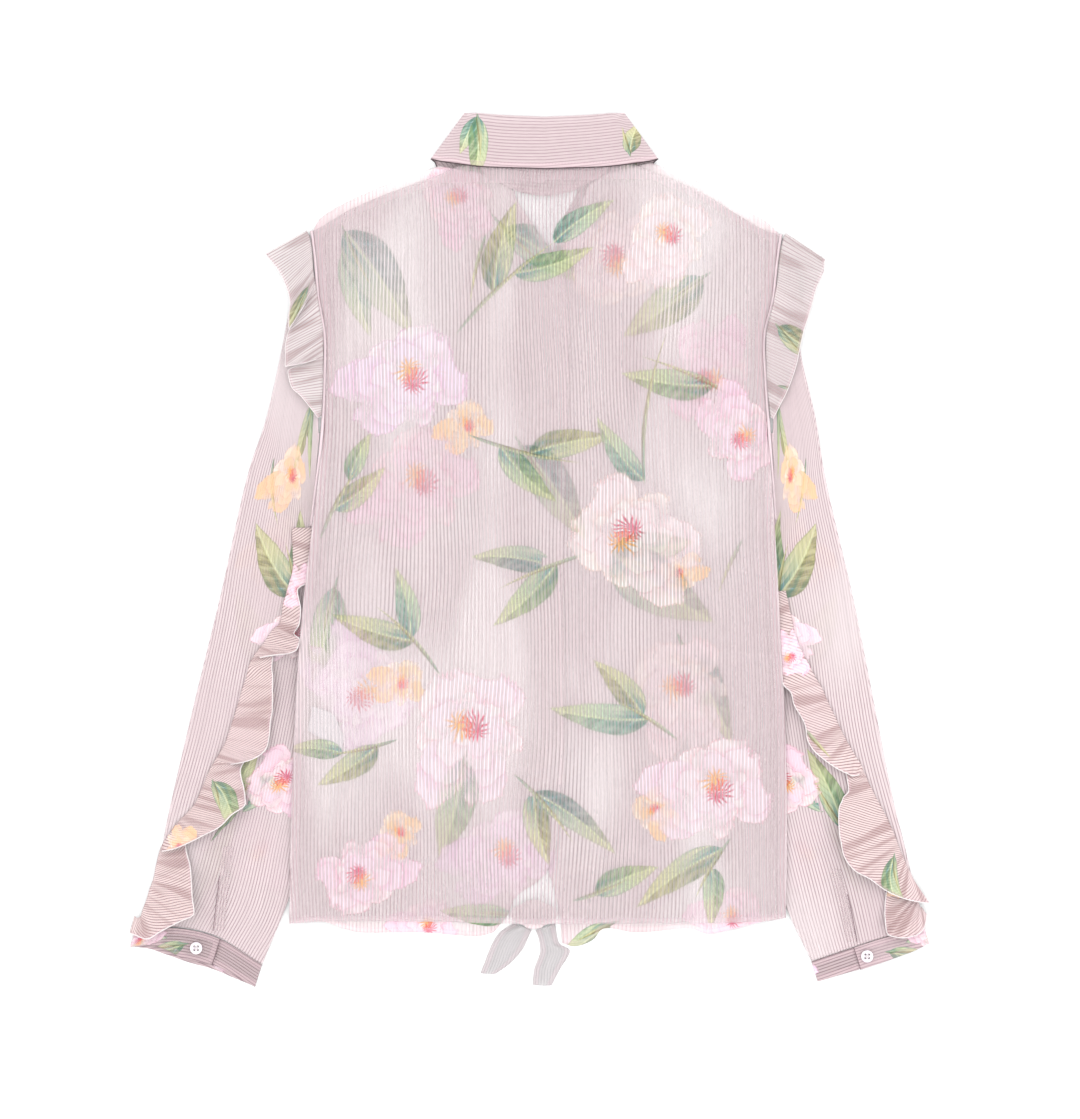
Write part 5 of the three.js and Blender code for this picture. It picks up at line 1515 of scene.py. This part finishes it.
class BLOUSE_OT_sleeves(bpy.types.Operator):
    """Make the flattened sleeves and bind their openings"""

    bl_idname = "blouse.sleeves"
    bl_label = "Sleeves"

    def execute(self, context):
        for which, side in SIDES:
            seam = Outline(SIDE_EDGE[which][-2:] + ARMHOLE[which][1:]).at(shares(GRIDS["armhole_seam"]))
            lift = np.full(len(seam), ARMHOLE_SEAM_HEIGHT)
            seam = np.column_stack([seam[:, 0] + which * ARMHOLE_SEAM_OUT, seam[:, 1], lift])
            add_edging(f"armhole_seam_{side}", seam, ARMHOLE_SEAM_RADIUS, "seam")
            points = sleeve_grid(which, *GRIDS["sleeve"])
            run = lengths_across(points)
            half = run[:, [GRIDS["sleeve"][1]]]
            under = run > half
            weave = np.dstack([run, points[..., 1]])
            place = np.dstack([
                np.where(under, 2 * half + UNDER_SHIFT[0] - run, run),
                points[..., 1] + np.where(under, UNDER_SHIFT[1], 0),
            ])
            sleeve = add_cloth(f"sleeve_{side}", points, "sleeve", weave, place, SLEEVE_SPRAYS,
                               SLEEVE_BLOOMS, seam=lengths_down(points), ring=True)
            declare_sheet(points)
            points = sleeve_opening_grid(which, *GRIDS["sleeve_opening"])
            binding = add_cloth(f"sleeve_placket_{side}", points, "placket")
            slit = add_edging(f"sleeve_slit_{side}", points[SLIT_START:, 0 if which == LEFT else -1],
                              SLIT_RADIUS, "mauve")
            declare_sheet(points)
        return {"FINISHED"}


def add_ruffle(name, side, points, cloth, sprays, blooms, roll):
    """A ruffle over the top of a sleeve, with its rolled hem."""
    flat = points[..., :2]
    across = lengths_across(flat)
    weave = np.dstack([lengths_down(flat)[:, -1:] + 0 * across, across])
    ruffle = add_cloth(f"{name}_{side}", points, cloth, weave, None, sprays, blooms,
                       lengths_back(flat) + NARROW_HEM)
    edge = add_edging(f"{name}_{side}_hem", points[:, -1], roll, "pale")
    declare_sheet(points)


class BLOUSE_OT_sleeve_ruffles(bpy.types.Operator):
    """Sew the long ruffle that winds down each sleeve"""

    bl_idname = "blouse.sleeve_ruffles"
    bl_label = "Sleeve ruffles"

    def execute(self, context):
        roll = context.scene.blouse_cloth.hem_roll
        for which, side in SIDES:
            points = sleeve_ruffle_grid(which, *GRIDS["sleeve_ruffle"])
            add_ruffle("sleeve_ruffle", side, points, "frill", RUFFLE_SPRAYS, RUFFLE_BLOOMS, roll)
        return {"FINISHED"}


class BLOUSE_OT_shoulder_ruffles(bpy.types.Operator):
    """Fold the ruffled wings over the tops of the sleeves"""

    bl_idname = "blouse.shoulder_ruffles"
    bl_label = "Shoulder ruffles"

    def execute(self, context):
        roll = context.scene.blouse_cloth.hem_roll * WING_ROLL
        for which, side in SIDES:
            points = wing_grid(which, *GRIDS["wing"])
            add_ruffle("shoulder_ruffle", side, points, "wing", WING_SPRAYS, (), roll)
        return {"FINISHED"}


class BLOUSE_OT_collar(bpy.types.Operator):
    """Turn the collar's fall over its stand"""

    bl_idname = "blouse.collar"
    bl_label = "Collar"

    def execute(self, context):
        points = collar_fall_grid(*GRIDS["collar_fall"])
        across = lengths_across(points)
        weave = np.dstack([across, lengths_down(points).mean(axis=1)[:, None] + 0 * across])
        place = np.dstack([points[..., 0] - COLLAR_X, across])
        fall = add_cloth("collar_fall", points, "collar", weave, place, COLLAR_SPRAYS,
                         hem=lengths_back(points))
        # A dark cord along the fall's outer edge: partly its edge line, partly painted shadow under it.
        shadow_cord = add_edging("collar_edge", points[:, -1], COLLAR_SHADOW_CORD, "dark")
        declare_sheet(points)
        points = collar_stand_grid(*GRIDS["collar_stand"])
        stand = add_cloth("collar_stand", points, "collar", hem=lengths_back(points))
        declare_sheet(points)
        return {"FINISHED"}


class BLOUSE_OT_cuffs(bpy.types.Operator):
    """Wrap the cuffs round the ends of the sleeves"""

    bl_idname = "blouse.cuffs"
    bl_label = "Cuffs"

    def execute(self, context):
        for which, side in SIDES:
            points = cuff_grid(which, *GRIDS["cuff"])
            hem = np.minimum(np.minimum(lengths_back(points), lengths_across(points)), lengths_down(points))
            cuff = add_cloth(f"cuff_{side}", points, "cuff", place=woven(points)[..., ::-1],
                             sprays=CUFF_SPRAYS, blooms=CUFF_BLOOMS, hem=hem)
            edge = add_edging(f"cuff_{side}_edge", points[0], SLIT_RADIUS, "mauve")
            declare_sheet(points)
        return {"FINISHED"}


class BLOUSE_OT_ties(bpy.types.Operator):
    """Tie the front tails and knot them"""

    bl_idname = "blouse.ties"
    bl_label = "Ties and knot"

    def execute(self, context):
        for which, side in SIDES:
            points = tie_grid(which, *GRIDS["tie"])
            tie = add_cloth(f"tie_{side}", points, "tie",
                            hem=np.minimum(lengths_across(points), lengths_back(points)))
            declare_sheet(points)
        make_knot()
        return {"FINISHED"}


def make_knot():
    """A soft flattened bead, creased where the tails turn round each other."""
    knot_x, knot_y, half_width, half_height, height = KNOT
    bpy.ops.object.select_all(action="DESELECT")
    bpy.ops.mesh.primitive_uv_sphere_add(segments=96, ring_count=64, radius=1)
    knot = bpy.context.object
    mesh = knot.data
    knot.name = mesh.name = "tie_knot_cloth"
    unit = np.empty(len(mesh.vertices) * 3)
    mesh.vertices.foreach_get("co", unit)
    x, y, z = unit.reshape(-1, 3).T
    band = 1 - 0.16 * smooth(np.abs(x), 0.3, 0.45)
    creases = sum(
        depth * np.exp(-(((x * cosine + y * sine - at) / wide) ** 2))
        for cosine, sine, at, wide, depth in KNOT_CREASES
    )
    swell = 1 - creases * smooth(z, -0.2, 0.5)
    points = np.stack([
        knot_x + (half_width - 0.5) * x, knot_y + (half_height - 0.5) * band * y,
        height / 2 * (1 + band * z * swell),
    ], axis=1)
    mesh.vertices.foreach_set("co", place_points(points).ravel())
    bpy.ops.object.shade_smooth()
    weave = mesh.uv_layers[0]
    weave.name = "weave"
    for label in ("hem", "seam"):
        lay_values(mesh.attributes.new(label, "FLOAT", "POINT"), "value", np.full(len(points), FAR))
    uv = np.empty(len(weave.data) * 2, np.float32)
    weave.data.foreach_get("uv", uv)
    weave.data.foreach_set("uv", uv * np.tile(KNOT_WEAVE, len(weave.data)))
    mesh.materials.append(chiffon("front", []))
    mesh.update()
    finish_piece(knot, ["tie_knot"])


def add_cylinder(place, radius, depth, vertices):
    bpy.ops.object.select_all(action="DESELECT")
    bpy.ops.mesh.primitive_cylinder_add(vertices=vertices, radius=radius, depth=depth, location=place)
    return bpy.context.object


def make_button(name, middle, radius, tall):
    """A button with a raised rim and four holes."""
    button = add_cylinder(middle, radius, tall, 64)
    button.name = button.data.name = name
    bpy.ops.object.mode_set(mode="EDIT")
    bpy.ops.mesh.select_all(action="DESELECT")
    bpy.ops.object.mode_set(mode="OBJECT")
    for face in button.data.polygons:
        face.select = face.normal.z > 0.9
    bpy.ops.object.mode_set(mode="EDIT")
    bpy.ops.mesh.inset(thickness=radius * RIM)
    bpy.ops.mesh.inset(thickness=radius * SLOPE)
    bpy.ops.transform.translate(value=(0, 0, -tall * DISH))
    bpy.ops.object.mode_set(mode="OBJECT")
    bpy.ops.object.transform_apply(location=True)
    apply_modifier(button, "BEVEL", width=tall * ROUNDING, segments=3, limit_method="ANGLE")
    for across in (-0.5, 0.5):
        for along in (-0.5, 0.5):
            drill = add_cylinder(middle + np.array([across, along, 0]) * HOLE_SPACING, HOLE_RADIUS, tall * 2, 24)
            bpy.ops.object.transform_apply(location=True)
            apply_modifier(button, "BOOLEAN", operation="DIFFERENCE", object=drill, solver="EXACT")
            bpy.data.objects.remove(drill)
    select_only(button)
    bpy.ops.object.shade_smooth_by_angle(angle=math.radians(35))
    return button


class BLOUSE_OT_buttons(bpy.types.Operator):
    """Sew a four-hole button on each cuff"""

    bl_idname = "blouse.buttons"
    bl_label = "Buttons"

    def execute(self, context):
        pearl = button_material()
        steps = np.linspace(-1, 1, 25)
        for _, side in SIDES:
            low, high = (np.array(corner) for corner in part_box(f"cuff_button_{side}"))
            middle, radius, tall = (low + high) / 2, (high[0] - low[0]) / 2, high[2] - low[2]
            button = make_button(f"cuff_button_{side}_pearl", middle, radius, tall)
            button.data.materials.clear()
            button.data.materials.append(pearl)
            finish_piece(button, [f"cuff_button_{side}"])
            at = (middle + (0, 0, tall * ROUNDING) - (*OFFSET, 0)) / MM
            for number, angle in enumerate((math.pi / 4, -math.pi / 4)):
                reach, lift = steps * THREAD_REACH, THREAD_RISE - THREAD_DIP * steps**4
                path = np.stack([reach * math.cos(angle), reach * math.sin(angle), lift], axis=1)
                add_edging(f"cuff_button_{side}_thread_{number + 1}", path + at, THREAD_RADIUS, "pale")
        return {"FINISHED"}


class BLOUSE_OT_label(bpy.types.Operator):
    """Sew the blank care label inside the left side seam"""

    bl_idname = "blouse.label"
    bl_label = "Care label"

    def execute(self, context):
        points = care_label_grid(*GRIDS["care_label"])
        label = add_cloth("care_label", points, "tie", name="care_label_tape")
        label.data.materials.clear()
        label.data.materials.append(label_material())
        label.data.polygons.foreach_set("material_index", np.zeros(len(label.data.polygons), np.int32))
        declare_sheet(points)
        return {"FINISHED"}


class BLOUSE_OT_stage(bpy.types.Operator):
    """Set the pale floor, the soft light and the camera straight above"""

    bl_idname = "blouse.stage"
    bl_label = "Stage"

    def execute(self, context):
        scene = context.scene
        stage = scene.blouse_stage
        bpy.ops.object.select_all(action="DESELECT")
        bpy.ops.mesh.primitive_plane_add(size=12, location=(0, 0, 0))
        floor = context.object
        floor.name = floor.data.name = "studio_floor"
        floor.data.materials.append(floor_material(stage.floor))
        middle_x, middle_y = OFFSET[0] + VIEW_MIDDLE[0] * MM, OFFSET[1] + VIEW_MIDDLE[1] * MM
        camera = bpy.data.objects.new("camera", bpy.data.cameras.new("camera"))
        camera.data.lens, camera.data.sensor_width, camera.data.clip_end = stage.lens, 36, 20
        camera.location = (middle_x, middle_y, stage.distance)
        key = bpy.data.objects.new("window_light", bpy.data.lights.new("window_light", "AREA"))
        key.data.energy, key.data.size = stage.key, KEY_SIZE
        aside, back, up = KEY_PLACE
        key.location = (middle_x + aside, middle_y + back, up)
        key.rotation_euler = (math.acos(up / math.hypot(aside, back, up)), 0, math.atan2(-aside, back))
        for obj in (camera, key):
            scene.collection.objects.link(obj)
        scene.camera = camera
        scene.world = bpy.data.worlds.new("room")
        scene.world.use_nodes = True
        background = scene.world.node_tree.nodes["Background"].inputs
        background["Color"].default_value = (1, 1, 1, 1)
        background["Strength"].default_value = stage.world
        scene.view_settings.view_transform = "Standard"
        scene.cycles.transparent_max_bounces = 16
        scene.cycles.diffuse_bounces = 1
        return {"FINISHED"}


class BLOUSE_PT_panel(bpy.types.Panel):
    """Lists the blouse's pieces in the order they are made"""

    bl_idname = "BLOUSE_PT_panel"
    bl_label = "Blouse"
    bl_space_type = "VIEW_3D"
    bl_region_type = "UI"
    bl_category = "Blouse"

    def draw(self, context):
        layout = self.layout
        for settings in (context.scene.blouse_cloth, context.scene.blouse_stage):
            for name in settings.__annotations__:
                layout.prop(settings, name)
        for operator in OPERATORS:
            layout.operator(operator.bl_idname)


OPERATORS = (
    BLOUSE_OT_stage, BLOUSE_OT_fronts, BLOUSE_OT_back, BLOUSE_OT_sleeves, BLOUSE_OT_sleeve_ruffles,
    BLOUSE_OT_shoulder_ruffles, BLOUSE_OT_collar, BLOUSE_OT_cuffs, BLOUSE_OT_ties, BLOUSE_OT_buttons,
    BLOUSE_OT_label,
)
CLASSES = (BLOUSE_PG_cloth, BLOUSE_PG_stage, *OPERATORS, BLOUSE_PT_panel)


def register():
    for kind in CLASSES:
        bpy.utils.register_class(kind)
    bpy.types.Scene.blouse_cloth = PointerProperty(type=BLOUSE_PG_cloth)
    bpy.types.Scene.blouse_stage = PointerProperty(type=BLOUSE_PG_stage)


def unregister():
    del bpy.types.Scene.blouse_cloth
    del bpy.types.Scene.blouse_stage
    for kind in reversed(CLASSES):
        bpy.utils.unregister_class(kind)


def main():
    register()
    make_patterns()
    bpy.ops.blouse.stage()
    bpy.ops.blouse.fronts()
    bpy.ops.blouse.back()
    bpy.ops.blouse.sleeves()
    bpy.ops.blouse.sleeve_ruffles()
    bpy.ops.blouse.shoulder_ruffles()
    bpy.ops.blouse.collar()
    bpy.ops.blouse.cuffs()
    bpy.ops.blouse.ties()
    bpy.ops.blouse.buttons()
    bpy.ops.blouse.label()


if __name__ == "__main__":
    main()
